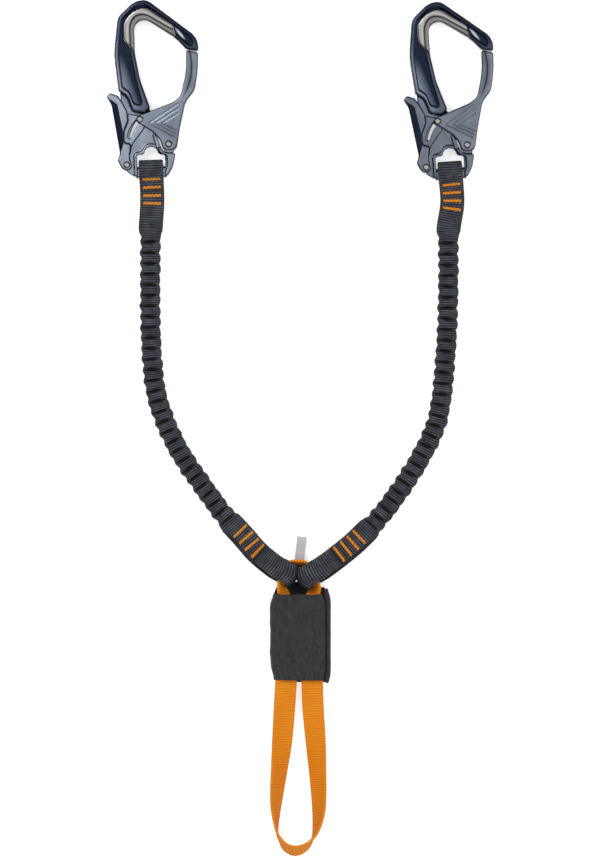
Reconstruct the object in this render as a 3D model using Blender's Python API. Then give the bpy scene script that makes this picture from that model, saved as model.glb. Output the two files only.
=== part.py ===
"""Via ferrata lanyard, laid flat: two carabiners, two elastic arms and a tear absorber.

Metres, +Z up, +X to the right and +Y away from the tie-in loop. The lanyard lies on z = 0.
"""

import math

import bmesh
import bpy
from mathutils import Matrix, Vector

# Driving dimensions of the carabiner. Its own frame has its origin on the axis of the bar that the
# webbing goes round, +X along that bar towards the gate and +Y towards the hook's apex.
CARABINER_REACH = 0.1413
CARABINER_THICKNESS = 0.0140
PLATE_THICKNESS = 0.0060
EYE_RIM_THICKNESS = 0.0080
BAR_DEPTH = 0.0094
BAR_THICKNESS = 0.0070
BAR_EDGE_RADIUS = 0.0032
MOVING_CLEARANCE = 0.0003
SEAT_CLEARANCE = 0.0003
EDGE_BEVEL = 0.0012
POCKET_DEPTH = 0.0025

# Gate, lever and their pins
GATE_FORK_GAP = 0.0100
GATE_OPEN_DEGREES = 28.0
LEVER_PRESS_DEGREES = 4.0
LEVER_GAP = 0.0066
LEVER_PANEL_THICKNESS = 0.0094
CHEVRON_DEPTH = 0.0006
CHEVRON_WIDTH = 0.0009
PIN_RADIUS = 0.0015
HEAD_RADIUS = 0.00225
HEAD_THICKNESS = 0.0006
HEAD_RECESS = 0.0006
HUB_RADIUS = 0.0046
SPRING_WIRE = 0.0008
SPRING_COIL_RADIUS = 0.0022
SPRING_TURNS = 2.6
SPRING_TURN_POINTS = 9
SPRING_WIRE_GAP = 0.0001
GATE_SPRING_GAP = 0.0040
LEVER_SPRING_GAP = 0.0036
GATE_SPRING_LEG = 0.0084
LEVER_SPRING_LEG = 0.0052

# Places in the carabiner, in parts of which its reach holds 141.3. A corner's third number is the
# radius of its fillet, in the same parts.
REACH_IN_SHARES = 141.3
GATE_HINGE_SHARES = (15.4, 22.4)
GUIDE_PIN_SHARES = (-7.5, 43.5)
LEVER_HINGE_SHARES = (-19.6, 6.3)
HOOK_SHARES = (
    (-24.5, 67.4, 1.6), (-17.6, 62.6, 5.0), (-13.6, 50.6, 2.4), (-3.2, 48.5, 3.0), (1.1, 53.0, 1.4),
    (-6.4, 76.5, 30.0), (-10.2, 100.0, 30.0), (-10.0, 133.0, 9.5), (24.6, 109.2, 25.0),
    (32.2, 100.4, 1.4), (42.2, 98.2, 1.4), (42.7, 104.5, 8.0), (39.8, 111.4, 9.0), (0.6, 142.8, 12.0),
    (-9.5, 140.4, 9.0), (-23.0, 128.5, 9.0), (-27.3, 98.0, 60.0),
)
POCKET_SHARES = (
    (-21.4, 70.6, 1.5), (-15.6, 66.2, 4.0), (-12.4, 56.6, 2.0), (-4.8, 54.6, 1.5), (-9.6, 76.0, 25.0),
    (-13.4, 98.0, 20.0), (-13.6, 127.0, 9.0), (-1.0, 130.6, 9.0), (19.0, 117.0, 3.0),
    (25.0, 112.4, 2.0), (34.8, 103.4, 1.0), (38.8, 102.6, 1.2), (36.8, 110.0, 5.0), (-0.4, 138.6, 9.0),
    (-8.4, 136.8, 8.0), (-19.8, 126.8, 8.0), (-23.9, 98.0, 50.0),
)
INSERT_SHARES = (
    (-9.9, 99.6, 0.8), (-10.0, 133.0, 9.5), (24.0, 109.6, 0.8), (21.8, 121.0, 3.0),
    (-0.6, 137.2, 13.0), (-12.4, 131.4, 12.0), (-18.4, 124.0, 8.0), (-18.6, 109.8, 5.0),
)
PLATE_SHARES = (
    (-21.8, 8.4, 5.0), (-20.6, 1.4, 4.0), (-14.2, -3.2, 3.0), (-11.0, -3.4, 1.0), (13.0, -3.4, 4.0),
    (16.6, 3.0, 6.0), (18.2, 12.6, 2.0), (11.0, 15.6, 3.0), (5.4, 28.2, 6.0), (2.4, 36.4, 5.0),
    (2.2, 49.0, 1.0), (-1.6, 56.0, 2.0), (-18.0, 70.0, 2.0), (-23.2, 67.0, 2.0), (-22.6, 52.0, 8.0),
    (-19.2, 30.0, 12.0),
)
RIGHT_ARM_SHARES = (
    (10.4, -4.4, 1.0), (14.0, -3.6, 3.2), (18.4, 4.0, 8.0), (20.8, 14.8, 1.4), (12.4, 15.4, 3.0),
    (8.4, 20.0, 1.4), (5.6, 20.2, 1.2), (7.8, 15.6, 2.0), (13.6, 13.2, 2.0), (13.4, 4.0, 3.0),
)
STEP_RIM_SHARES = (
    (9.6, 17.6, 1.2), (6.4, 27.8, 2.0), (3.8, 32.4, 1.2), (2.4, 31.2, 1.2), (4.6, 22.0, 3.0),
    (6.0, 17.6, 1.2),
)
EYE_RIM_SHARES = (
    (-14.0, -2.6, 1.2), (-10.5, -4.2, 1.2), (13.0, -4.2, 1.2), (14.8, 6.0, 2.0), (14.6, 15.6, 2.6),
    (8.6, 17.0, 2.4), (4.2, 23.4, 4.0), (-3.0, 23.4, 4.0), (-7.6, 17.2, 2.4), (-13.9, 16.2, 2.6),
)
EYE_SHARES = (
    (-11.5, -7.0, 0.4), (11.9, -7.0, 0.4), (11.9, 14.2, 1.8), (6.8, 14.4, 1.6), (4.6, 20.8, 4.4),
    (-3.6, 20.8, 4.4), (-5.6, 14.6, 1.6), (-11.4, 14.6, 1.8),
)
HUB_NECK_SHARES = (
    (12.2, 10.0, 1.0), (18.6, 10.0, 1.0), (19.9, 22.4, 1.0), (10.9, 22.4, 1.0),
)
GATE_SHARES = (
    (21.4, 17.3, 4.8), (25.2, 36.0, 30.0), (30.4, 56.8, 10.0), (38.4, 66.0, 12.0), (41.4, 82.0, 50.0),
    (42.2, 97.0, 1.4), (32.4, 99.75, 1.4), (31.8, 82.0, 40.0), (26.6, 61.6, 9.0), (20.4, 57.0, 9.0),
    (-14.6, 44.5, 3.2), (3.4, 32.2, 8.0), (8.8, 25.4, 6.0), (10.4, 17.3, 4.4),
)
GATE_FORK_SHARES = (
    (30.0, 10.0, 1.0), (30.0, 24.6, 1.0), (21.4, 28.6, 3.0), (14.4, 34.0, 4.0), (15.0, 43.0, 4.0),
    (19.6, 60.0, 1.0), (-20.0, 60.0, 1.0), (-20.0, 10.0, 1.0),
)
CHEVRON_APEX_SHARES = ((-0.9, 40.1), (4.4, 40.0), (9.8, 39.6))
CHEVRON_UPPER_END_SHARES = ((23.4, 55.2), (23.8, 51.6), (24.0, 47.8))
CHEVRON_LOWER_END_SHARES = ((20.6, 27.6), (21.6, 30.4), (22.4, 33.2))
LEVER_SHARES = (
    (-19.0, 1.2, 3.6), (-24.0, 3.4, 3.0), (-27.2, 10.2, 1.6), (-25.0, 16.0, 5.0), (-30.7, 56.6, 6.0),
    (-34.6, 63.2, 1.2), (-31.4, 66.2, 1.2), (-25.2, 63.7, 1.2), (-21.2, 57.6, 6.0),
    (-17.8, 50.4, 1.2), (-17.4, 42.8, 4.0), (-21.4, 33.6, 5.0), (-21.3, 24.6, 1.6),
    (-15.6, 23.4, 1.6), (-17.2, 12.8, 6.0), (-15.4, 4.6, 2.4),
)
LEVER_PANEL_SHARES = (
    (-17.0, 12.6, 2.0), (-14.8, 23.0, 8.0), (-4.0, 36.4, 2.0), (-4.6, 42.4, 2.0), (-9.2, 47.0, 2.0),
    (-17.6, 49.0, 1.0), (-19.2, 42.8, 3.0), (-23.4, 33.0, 4.0), (-23.4, 18.0, 2.0),
)
LEVER_GAP_SHARES = (
    (-22.0, -4.0, 1.0), (-23.8, 8.6, 2.0), (-22.6, 16.0, 4.0), (-28.0, 57.0, 4.0), (-29.4, 72.0, 1.0),
    (2.0, 72.0, 1.0), (2.0, -4.0, 1.0),
)
SPRING_SLOT_SHARES = (
    (-3.4, -3.0), (-1.4, -3.6), (1.4, -3.6), (3.2, -3.0), (8.0, -2.0), (8.0, 8.4), (-1.6, 8.4), (-3.8, 3.0),
)
LEVER_SLOPE_RIDGE_SHARES = ((-25.6, 56.3), (-21.9, 34.6), (-21.7, 24.6), (-24.8, 14.3))
LEVER_SLOPE_FOOT_SHARES = ((-34.4, 61.6), (-27.2, 11.6))
LEVER_SLOPE_DROP = 0.0026
FACET_SAG = 0.00014
SHARP_DEGREES = 35.0
GATE_SPRING_START_DEGREES = 165.0
LEVER_SPRING_START_DEGREES = 190.0

OVERRUN = 0.0010

# Webbing arms: a flat tube with an elastic core, sewn to a loop at both ends
WEBBING_WIDTH = 0.0200
WEBBING_THICKNESS = 0.0020
BAR_HEIGHT = 0.0075
BAR_LOOP_RADIUS = 0.00505
BAR_LOOP_STRETCH = 0.0029
UPPER_TAPER = 0.0180
UPPER_SEWN = 0.0383
UPPER_SEWN_HEIGHT = 0.0055
LAYER_STEP = 0.0006
TUBE_THICKNESS = 0.0046
TUBE_HEIGHT = 0.0050
PLAIN_LENGTH = 0.0120
GATHER_COUNT = 30
CREST_WIDTH = 0.0173
CREST_THICKNESS = 0.0090
VALLEY_WIDTH = 0.0146
VALLEY_THICKNESS = 0.0056
LOWER_TAIL = 0.0080
LOWER_SEWN_HEIGHT = 0.0060
LOOP_INNER_HALF = 0.0090
LOOP_CORNER = 0.0050
LOOP_HEIGHT = 0.0128
LOOP_FULL = 0.0215
LOOP_TAPER = 0.0275
LOOP_TAPER_END = 0.0325
LOOP_CLOSE_HEIGHT = 0.0080
UPPER_TACK_FIRST = {"left": 0.0074, "right": 0.0106}
UPPER_TACK_PITCH = 0.0065
LOWER_TACK_FIRST = 0.0355
LOWER_TACK_PITCH = 0.0073
TACK_COUNT = 4
TACK_WIDTH = 0.0148
TACK_LENGTH = 0.0023
TACK_PROUD = 0.0002
CORE_BORE_WIDTH = 0.0090
CORE_BORE_THICKNESS = 0.0024
CORE_SPACING = 0.0120
ROUTE_SPACING = 0.0020
SMOOTH_STEPS = 16
SECTION_SIDES = 10
FLAT = 8.0
ROUND = 2.4
FOLD_TURN_SHARES = (0.15, 0.4, 0.7, 1.0)
UPPER_TAPER_SHARES = ((0.0, 1.0), (0.28, 0.9), (0.52, 0.52), (0.76, 0.2), (1.0, 0.0))

# Plan of the lanyard as it lies: where the bars are, and the arms' centre lines from bar to crossing
CARABINER_TURN_DEGREES = {"left": 2.0, "right": 4.0}
BAR_PLACE = {"left": (-0.1206, 0.2118), "right": (0.1263, 0.2106)}
STRAIGHT_AT_BAR = 0.0240
ARM_ROUTE = {
    "left": (
        (-0.1211, 0.1640), (-0.1213, 0.1400), (-0.1215, 0.1145), (-0.1211, 0.0815), (-0.1195, 0.0526),
        (-0.1162, 0.0279), (-0.1079, 0.0031), (-0.0955, -0.0216), (-0.0786, -0.0464), (-0.0605, -0.0711),
        (-0.0440, -0.0895), (-0.0330, -0.1020), (-0.0188, -0.1138), (-0.0114, -0.1176), (-0.0042, -0.1210),
    ),
    "right": (
        (0.1248, 0.1640), (0.1248, 0.1400), (0.1246, 0.1145), (0.1237, 0.0815), (0.1217, 0.0526),
        (0.1194, 0.0279), (0.1144, 0.0031), (0.1029, -0.0216), (0.0876, -0.0464), (0.0695, -0.0711),
        (0.0517, -0.0901), (0.0385, -0.1016), (0.0222, -0.1140), (0.0134, -0.1192), (0.0057, -0.1238),
    ),
}
CROSSING_PLACE = {"left": (-0.0040, -0.1120), "right": (0.0080, -0.1120)}

ORIGIN_SHIFT = (-0.00248, -0.00039, 0.0)

# Absorber: pouch cover, folded tear webbing, two orange loops, label tab and closure strip
STRAP_THICKNESS = 0.0022
STRAP_SPACING = 0.0045
COVER_LEFT = -0.0224
COVER_RIGHT = 0.0277
COVER_HEIGHT = 0.0220
COVER_WALL = 0.0012
COVER_ROUNDING = 0.0042
COVER_SEAM = 0.0243
COVER_FLAP_REACH = 0.0127
COVER_STATIONS = (
    (-0.1360, 0.91), (-0.1400, 0.95), (-0.1500, 1.0), (-0.1920, 1.0), (-0.2030, 0.98), (-0.2082, 0.92),
)
COVER_LIP_END = -0.1305
COVER_LIP_INSET = 0.0060
CLOSURE_THICKNESS = 0.0008
CLOSURE_MARGIN = 0.0012
CLOSURE_ENDS = (-0.1900, -0.1510)
PACK_LAYERS = 5
PACK_THICKNESS = 0.0024
PACK_GAP = 0.0003
PACK_ENDS = (-0.2000, -0.1650)
PACK_SIDES = (-0.0184, 0.0226)
PACK_FLOOR = 0.0015
PACK_FOLD = 0.0030
TAB_THICKNESS = 0.0006

# Orange straps and label tab: places along each, as x, y, height, lean in degrees and width
TOP_LOOP_ROUTE = (
    (-0.0115, -0.1800, 0.0160, 0, 0.0178), (-0.0115, -0.1660, 0.0160, 0, 0.0178),
    (-0.0115, -0.1560, 0.0151, 8, 0.0178), (-0.0114, -0.1450, 0.0130, 28, 0.0172),
    (-0.0120, -0.1370, 0.0126, 46, 0.0150), (-0.0146, -0.1310, 0.0128, 58, 0.0126),
    (-0.0145, -0.1265, 0.0128, 60, 0.0125), (-0.0114, -0.1176, 0.0128, 63, 0.0125),
    (-0.0090, -0.1105, 0.0128, 66, 0.0128), (-0.0050, -0.1072, 0.0128, 69, 0.0135),
    (0.0006, -0.1062, 0.0128, 70, 0.0135), (0.0062, -0.1076, 0.0128, 69, 0.0135),
    (0.0100, -0.1118, 0.0128, 66, 0.0128), (0.0126, -0.1197, 0.0128, 63, 0.0125),
    (0.0157, -0.1270, 0.0128, 60, 0.0120), (0.0165, -0.1320, 0.0127, 58, 0.0114),
    (0.0143, -0.1385, 0.0119, 46, 0.0140), (0.0139, -0.1460, 0.0131, 26, 0.0168),
    (0.0139, -0.1560, 0.0151, 8, 0.0176),
    (0.0141, -0.1660, 0.0160, 0, 0.0178), (0.0141, -0.1800, 0.0160, 0, 0.0178),
)
TIE_IN_ROUTE = (
    (-0.0093, -0.1840, 0.0160, 0, 0.0178), (-0.0093, -0.1990, 0.0160, 0, 0.0178),
    (-0.0093, -0.2081, 0.0158, 0, 0.0178),
    (-0.0106, -0.2295, 0.0130, -10, 0.0178), (-0.0124, -0.2567, 0.0100, -24, 0.0178),
    (-0.0146, -0.2790, 0.0090, -42, 0.0178), (-0.0170, -0.3021, 0.0091, -56, 0.0178),
    (-0.0177, -0.3170, 0.0093, -70, 0.0178), (-0.0167, -0.3326, 0.0094, -90, 0.0178),
    (-0.0132, -0.3402, 0.0094, -100, 0.0178), (-0.0078, -0.3455, 0.0092, -112, 0.0178),
    (-0.0002, -0.3480, 0.0090, -118, 0.0178), (0.0073, -0.3453, 0.0092, -110, 0.0178),
    (0.0122, -0.3394, 0.0094, -94, 0.0178), (0.0154, -0.3310, 0.0094, -76, 0.0178),
    (0.0176, -0.3170, 0.0092, -58, 0.0178), (0.0177, -0.3021, 0.0091, -49, 0.0178),
    (0.0165, -0.2790, 0.0090, -38, 0.0178), (0.0150, -0.2567, 0.0100, -24, 0.0178),
    (0.0130, -0.2295, 0.0130, -10, 0.0178), (0.0123, -0.2081, 0.0158, 0, 0.0178),
    (0.0123, -0.1990, 0.0160, 0, 0.0178), (0.0123, -0.1840, 0.0160, 0, 0.0178),
)
TAB_ROUTE = (
    (0.0032, -0.1070, 0.0056, 0, 0.0092), (0.0031, -0.1040, 0.0045, 0, 0.0092),
    (0.0030, -0.0980, 0.0026, 0, 0.0092), (0.0028, -0.0891, 0.0012, 0, 0.0092),
)


def clear_scene():
    """Remove every object that the file opens with."""
    for old in list(bpy.data.objects):
        bpy.data.objects.remove(old)


def carabiner_point(shares):
    """Turn a place in the carabiner's shares into metres."""
    return Vector(shares[:2]) * (CARABINER_REACH / REACH_IN_SHARES)


def outline(shares, scale=CARABINER_REACH / REACH_IN_SHARES):
    """Give the outline through corners (x, y, fillet radius), each radius limited by its two sides."""
    corners = [Vector(corner[:2]) * scale for corner in shares]
    points = []
    for index, corner in enumerate(corners):
        back = corners[index - 1] - corner
        ahead = corners[(index + 1) % len(corners)] - corner
        half = back.angle(ahead) / 2
        reach = min(shares[index][2] * scale / math.tan(half), back.length * 0.48, ahead.length * 0.48)
        radius = reach * math.tan(half)
        centre = corner + (back.normalized() + ahead.normalized()).normalized() * (radius / math.sin(half))
        start = corner + back.normalized() * reach - centre
        turn = start.angle_signed(corner + ahead.normalized() * reach - centre)
        facet = 2 * math.acos(1 - min(FACET_SAG / radius, 1 / 2))
        steps = max(1, round(abs(turn) / facet))
        for step in range(steps + 1):
            points.append(centre + Matrix.Rotation(-turn * step / steps, 2) @ start)
    area = sum(points[index - 1].cross(point) for index, point in enumerate(points))
    return points if area > 0 else points[::-1]


def inset(points, depth):
    """Move an outline that runs anticlockwise inwards by a depth, corner by corner."""
    moved = []
    for index, point in enumerate(points):
        back = (point - points[index - 1]).normalized()
        ahead = (points[(index + 1) % len(points)] - point).normalized()
        normals = back.orthogonal() + ahead.orthogonal()
        moved.append(point + normals * (depth / (1 + back.dot(ahead))))
    return moved


def circle(centre, radius, sides=12):
    """Give a round outline."""
    turns = [2 * math.pi * side / sides for side in range(sides)]
    return [centre + Vector((math.cos(turn), math.sin(turn))) * radius for turn in turns]


def track(points, half_width, sides=6):
    """Give the outline that a round pin of half_width sweeps along points."""
    left, right = [], []
    for index, point in enumerate(points):
        ahead = points[min(index + 1, len(points) - 1)] - points[max(index - 1, 0)]
        side = ahead.normalized().orthogonal() * half_width
        left.append(point + side)
        right.append(point - side)
    head = points[-1] - points[-2]
    tail = points[0] - points[1]
    ends = []
    for point, direction in ((points[-1], head), (points[0], tail)):
        side = -direction.normalized().orthogonal() * half_width
        turns = [math.pi * step / sides for step in range(1, sides)]
        ends.append([point + Matrix.Rotation(turn, 2) @ side for turn in turns])
    return right + ends[0] + left[::-1] + ends[1]


def solid(name, rings):
    """Make one closed mesh object from rings of points, with a flat cap at each end."""
    shape = bmesh.new()
    loops = [[shape.verts.new(point) for point in ring] for ring in rings]
    for low, high in zip(loops, loops[1:]):
        for index in range(len(low)):
            shape.faces.new((low[index - 1], low[index], high[index], high[index - 1]))
    shape.faces.new(loops[0][::-1])
    shape.faces.new(loops[-1])
    bmesh.ops.recalc_face_normals(shape, faces=shape.faces)
    mesh = bpy.data.meshes.new(name)
    shape.to_mesh(mesh)
    shape.free()
    made = bpy.data.objects.new(name, mesh)
    bpy.context.scene.collection.objects.link(made)
    return made


def prism(name, points, low, high):
    """Extrude an outline from height low to height high."""
    return solid(name, [[Vector((point.x, point.y, z)) for point in points] for z in (low, high)])


def rounded_prism(name, points, thickness, bevel, steps=1):
    """Extrude an outline about z = 0 and round its upper and lower edges."""
    half = thickness / 2
    turns = [math.pi / 2 * step / steps for step in range(steps + 1)]
    profile = [(bevel * (1 - math.cos(turn)), half - bevel * (1 - math.sin(turn))) for turn in turns]
    rings = [(depth, -z) for depth, z in profile[::-1]] + profile
    levels = [(inset(points, depth), z) for depth, z in rings]
    return solid(name, [[Vector((point.x, point.y, z)) for point in level] for level, z in levels])


def combine(target, operation, *tools):
    """Join, cut or intersect a solid with others, which are used up."""
    for tool in tools:
        step = target.modifiers.new(tool.name, "BOOLEAN")
        step.operation = operation
        step.solver = "EXACT"
        step.object = tool
    shown = target.evaluated_get(bpy.context.evaluated_depsgraph_get())
    mesh = bpy.data.meshes.new_from_object(shown)
    target.modifiers.clear()
    target.data = mesh
    for tool in tools:
        bpy.data.objects.remove(tool)
    return target


def both_faces(name, points, low, high):
    """Make a pair of equal cutters, above and below z = 0."""
    return prism(name + "_top", points, low, high), prism(name + "_under", points, -high, -low)


def tube(name, points, radius, sides=6):
    """Sweep a round section along points, with flat ends."""
    rings = []
    side = None
    for index, point in enumerate(points):
        ahead = (points[min(index + 1, len(points) - 1)] - points[max(index - 1, 0)]).normalized()
        side = ahead.orthogonal() if side is None else side
        side = (side - ahead * side.dot(ahead)).normalized()
        other = ahead.cross(side)
        turns = [2 * math.pi * step / sides for step in range(sides)]
        rings.append([point + (side * math.cos(turn) + other * math.sin(turn)) * radius for turn in turns])
    return solid(name, rings)


def pin_path(margin_degrees=0.0, steps=7):
    """Give the guide pin's places while the gate opens, a margin past each end of its travel."""
    hinge = carabiner_point(GATE_HINGE_SHARES)
    arm = carabiner_point(GUIDE_PIN_SHARES) - hinge
    first = -margin_degrees
    span = GATE_OPEN_DEGREES + 2 * margin_degrees
    turns = [math.radians(first + span * step / steps) for step in range(steps + 1)]
    return turns, [hinge + Matrix.Rotation(turn, 2) @ arm for turn in turns]


def cam_path(margin_degrees=1.0):
    """Give the guide pin's places as the lever sees them while it is pressed in step with the gate."""
    hinge = carabiner_point(LEVER_HINGE_SHARES)
    turns, places = pin_path(margin_degrees)
    ratio = LEVER_PRESS_DEGREES / GATE_OPEN_DEGREES
    return [hinge + Matrix.Rotation(turn * ratio, 2) @ (place - hinge) for turn, place in zip(turns, places)]


def make_frame():
    """Forge the frame: thin plate, thick hook, eye with its bar, and the hub that the gate turns on."""
    half = CARABINER_THICKNESS / 2
    frame = prism("frame", outline(PLATE_SHARES), -PLATE_THICKNESS / 2, PLATE_THICKNESS / 2)
    hook = rounded_prism("hook", outline(HOOK_SHARES), CARABINER_THICKNESS, EDGE_BEVEL)
    rim = rounded_prism("rim", outline(EYE_RIM_SHARES), EYE_RIM_THICKNESS, EDGE_BEVEL / 2)
    arm = rounded_prism("arm", outline(RIGHT_ARM_SHARES), CARABINER_THICKNESS, EDGE_BEVEL / 2)
    hinge = carabiner_point(GATE_HINGE_SHARES)
    hub_half = GATE_FORK_GAP / 2 - MOVING_CLEARANCE
    hub = prism("hub", circle(hinge, HUB_RADIUS, 20), -hub_half, hub_half)
    neck = prism("neck", outline(HUB_NECK_SHARES), -hub_half, hub_half)
    step_rim = prism("step_rim", outline(STEP_RIM_SHARES), -hub_half, hub_half)
    combine(frame, "UNION", hook, rim, arm, neck, hub, step_rim)

    eye = prism("eye", outline(EYE_SHARES), -half - OVERRUN, half + OVERRUN)
    pockets = both_faces("pocket", outline(POCKET_SHARES), half - POCKET_DEPTH, half + OVERRUN)
    seat_outline = inset(outline(INSERT_SHARES), -SEAT_CLEARANCE)
    seat = prism("seat", seat_outline, -half - OVERRUN, half + OVERRUN)
    slot_half = PIN_RADIUS + MOVING_CLEARANCE
    slot = prism("slot", track(pin_path(1.0)[1], slot_half), -half, half)
    bore = prism("bore", circle(hinge, PIN_RADIUS + MOVING_CLEARANCE), -half, half)
    lever_hinge = carabiner_point(LEVER_HINGE_SHARES)
    lever_bore = prism("lever_bore", circle(lever_hinge, PIN_RADIUS + MOVING_CLEARANCE), -half, half)
    rooms = [
        spring_room("gate_spring_room", hinge, GATE_SPRING_GAP / 2, 1),
        spring_room("lever_spring_room", lever_hinge, LEVER_SPRING_GAP / 2, -1),
    ]
    combine(frame, "DIFFERENCE", eye, *pockets, seat, slot, bore, lever_bore, *rooms)

    profile = [(x, y, BAR_EDGE_RADIUS) for x in (-BAR_THICKNESS / 2, BAR_THICKNESS / 2)
               for y in (-BAR_DEPTH / 2, BAR_DEPTH / 2)]
    section = outline((profile[0], profile[2], profile[3], profile[1]), 1)
    sides = ((EYE_SHARES[0], -1), (EYE_SHARES[1], 1))
    ends = [carabiner_point(corner).x + side * OVERRUN for corner, side in sides]
    bar = solid("bar", [[Vector((x, point.y, point.x)) for point in section] for x in ends])
    return combine(frame, "UNION", bar)


def spring_room(name, centre, half, side):
    """Give the cutter of the open slot in which a spring's coil sits and its legs swing."""
    unit = CARABINER_REACH / REACH_IN_SHARES
    places = [centre + Vector((x * side, y)) * unit for x, y in SPRING_SLOT_SHARES]
    return prism(name, places, -half, half)


def make_insert():
    """Bend the steel insert that takes the wear in the crook of the hook."""
    points = outline(INSERT_SHARES)
    half = CARABINER_THICKNESS / 2 - EDGE_BEVEL / 2
    return rounded_prism("wear_insert", points, 2 * half, EDGE_BEVEL / 2)


def chevron(apex, upper, lower):
    """Give the outline of one chevron groove: two straight arms that meet at an apex."""
    corners = [carabiner_point(place) for place in (upper, apex, lower)]
    along = (corners[0] - corners[1]).normalized() + (corners[2] - corners[1]).normalized()
    shift = along.normalized() * CHEVRON_WIDTH
    return [*corners, corners[2] + shift, corners[1] + shift, corners[0] + shift]


def make_gate():
    """Make the gate: a bar that closes the hook, and a forked lobe with chevron grooves."""
    half = CARABINER_THICKNESS / 2
    gate = rounded_prism("gate", outline(GATE_SHARES), CARABINER_THICKNESS, EDGE_BEVEL / 2)
    fork = prism("fork", outline(GATE_FORK_SHARES), -GATE_FORK_GAP / 2, GATE_FORK_GAP / 2)
    cutters = [fork]
    for apex, upper, lower in zip(CHEVRON_APEX_SHARES, CHEVRON_UPPER_END_SHARES, CHEVRON_LOWER_END_SHARES):
        cutters += both_faces("chevron", chevron(apex, upper, lower), half - CHEVRON_DEPTH, half + OVERRUN)
    for shares in (GATE_HINGE_SHARES, GUIDE_PIN_SHARES):
        centre = carabiner_point(shares)
        cutters.append(prism("bore", circle(centre, PIN_RADIUS + MOVING_CLEARANCE), -half, half))
        recess = circle(centre, HEAD_RADIUS + MOVING_CLEARANCE)
        cutters += both_faces("recess", recess, half - HEAD_RECESS, half + OVERRUN)
    return combine(gate, "DIFFERENCE", *cutters)


def make_lever():
    """Make the palm lever: two cheeks over the frame's plate, a web behind them and a cam slot."""
    half = CARABINER_THICKNESS / 2
    lever = rounded_prism("lever", outline(LEVER_SHARES), CARABINER_THICKNESS, EDGE_BEVEL / 2)
    panel_half = LEVER_PANEL_THICKNESS / 2
    combine(lever, "UNION", prism("panel", outline(LEVER_PANEL_SHARES), -panel_half, panel_half))

    cutters = [prism("gap", outline(LEVER_GAP_SHARES), -LEVER_GAP / 2, LEVER_GAP / 2)]
    cutters.append(prism("cam", track(cam_path(), PIN_RADIUS + MOVING_CLEARANCE), -half, half))
    hinge = carabiner_point(LEVER_HINGE_SHARES)
    cutters.append(prism("bore", circle(hinge, PIN_RADIUS + MOVING_CLEARANCE), -half, half))
    recess = circle(hinge, HEAD_RADIUS + MOVING_CLEARANCE)
    cutters += both_faces("recess", recess, half - HEAD_RECESS, half + OVERRUN)
    for side in (-1, 1):
        cutters.append(slope_cutter(side))
    return combine(lever, "DIFFERENCE", *cutters)


def slope_cutter(side):
    """Cut the sloped face along the lever's back, from a ridge on the cheek down to its edge."""
    half = CARABINER_THICKNESS / 2
    ridge = [carabiner_point(place) for place in LEVER_SLOPE_RIDGE_SHARES]
    upper, lower = [carabiner_point(place) for place in LEVER_SLOPE_FOOT_SHARES]
    rings = []
    for point in ridge:
        foot = upper.lerp(lower, (ridge[0].y - point.y) / (ridge[0].y - ridge[-1].y))
        above = half + OVERRUN
        corners = ((point, half), (foot, half - LEVER_SLOPE_DROP), (foot, above), (point, above))
        rings.append([Vector((corner.x, corner.y, side * z)) for corner, z in corners])
    return solid("slope", rings)


def make_pin(name, shares):
    """Make a riveted pin with a flat head sunk in each cheek."""
    centre = carabiner_point(shares)
    seat = CARABINER_THICKNESS / 2 - HEAD_RECESS + SEAT_CLEARANCE
    profile = [(HEAD_RADIUS, seat + HEAD_THICKNESS), (HEAD_RADIUS, seat), (PIN_RADIUS, seat)]
    levels = [(radius, -z) for radius, z in profile] + profile[::-1]
    rings = [[Vector((point.x, point.y, z)) for point in circle(centre, radius)] for radius, z in levels]
    return solid(name, rings)


def make_spring(name, shares, start_degrees, leg):
    """Wind a torsion spring round a pin, with a straight leg at each end."""
    centre = carabiner_point(shares).to_3d()
    start = math.radians(start_degrees)
    end = start + 2 * math.pi * SPRING_TURNS
    steps = round(SPRING_TURNS * SPRING_TURN_POINTS)
    height = SPRING_TURNS * (SPRING_WIRE + SPRING_WIRE_GAP)
    points = []
    for step in range(steps + 1):
        share = step / steps
        turn = start + (end - start) * share
        lift = Vector((0, 0, height * (share - 1 / 2)))
        points.append(centre + Matrix.Rotation(turn, 3, "Z") @ Vector((SPRING_COIL_RADIUS, 0, 0)) + lift)
    tail = Vector((math.sin(start), -math.cos(start), 0)) * leg
    head = Vector((-math.sin(end), math.cos(end), 0)) * leg
    return tube(name, [points[0] + tail, *points, points[-1] + head], SPRING_WIRE / 2, 5)


def place(shape, name, material, parent, origin=Vector((0, 0, 0))):
    """Name a solid, give it its material and hang it on a pivot that stands at origin."""
    faces = bmesh.new()
    faces.from_mesh(shape.data)
    bmesh.ops.triangulate(faces, faces=faces.faces)
    bmesh.ops.translate(faces, verts=faces.verts, vec=-origin)
    faces.to_mesh(shape.data)
    faces.free()
    shape.name = shape.data.name = name
    shape.data.materials.clear()
    shape.data.materials.append(material)
    shape.data.shade_smooth()
    shape.data.set_sharp_from_angle(angle=math.radians(SHARP_DEGREES))
    shape.parent = parent
    return shape


def pivot(name, parent, location, turn=0.0):
    """Make the empty that marks a joint's axis."""
    made = bpy.data.objects.new(name, None)
    bpy.context.scene.collection.objects.link(made)
    made.parent = parent
    made.location = location
    made.rotation_euler.z = turn
    return made


def material(name, colour, roughness, metallic=0.0):
    """Make a plain material."""
    made = bpy.data.materials.new(name)
    made.use_nodes = True
    shader = made.node_tree.nodes["Principled BSDF"]
    shader.inputs["Base Color"].default_value = (*colour, 1)
    shader.inputs["Roughness"].default_value = roughness
    shader.inputs["Metallic"].default_value = metallic
    return made


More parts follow.
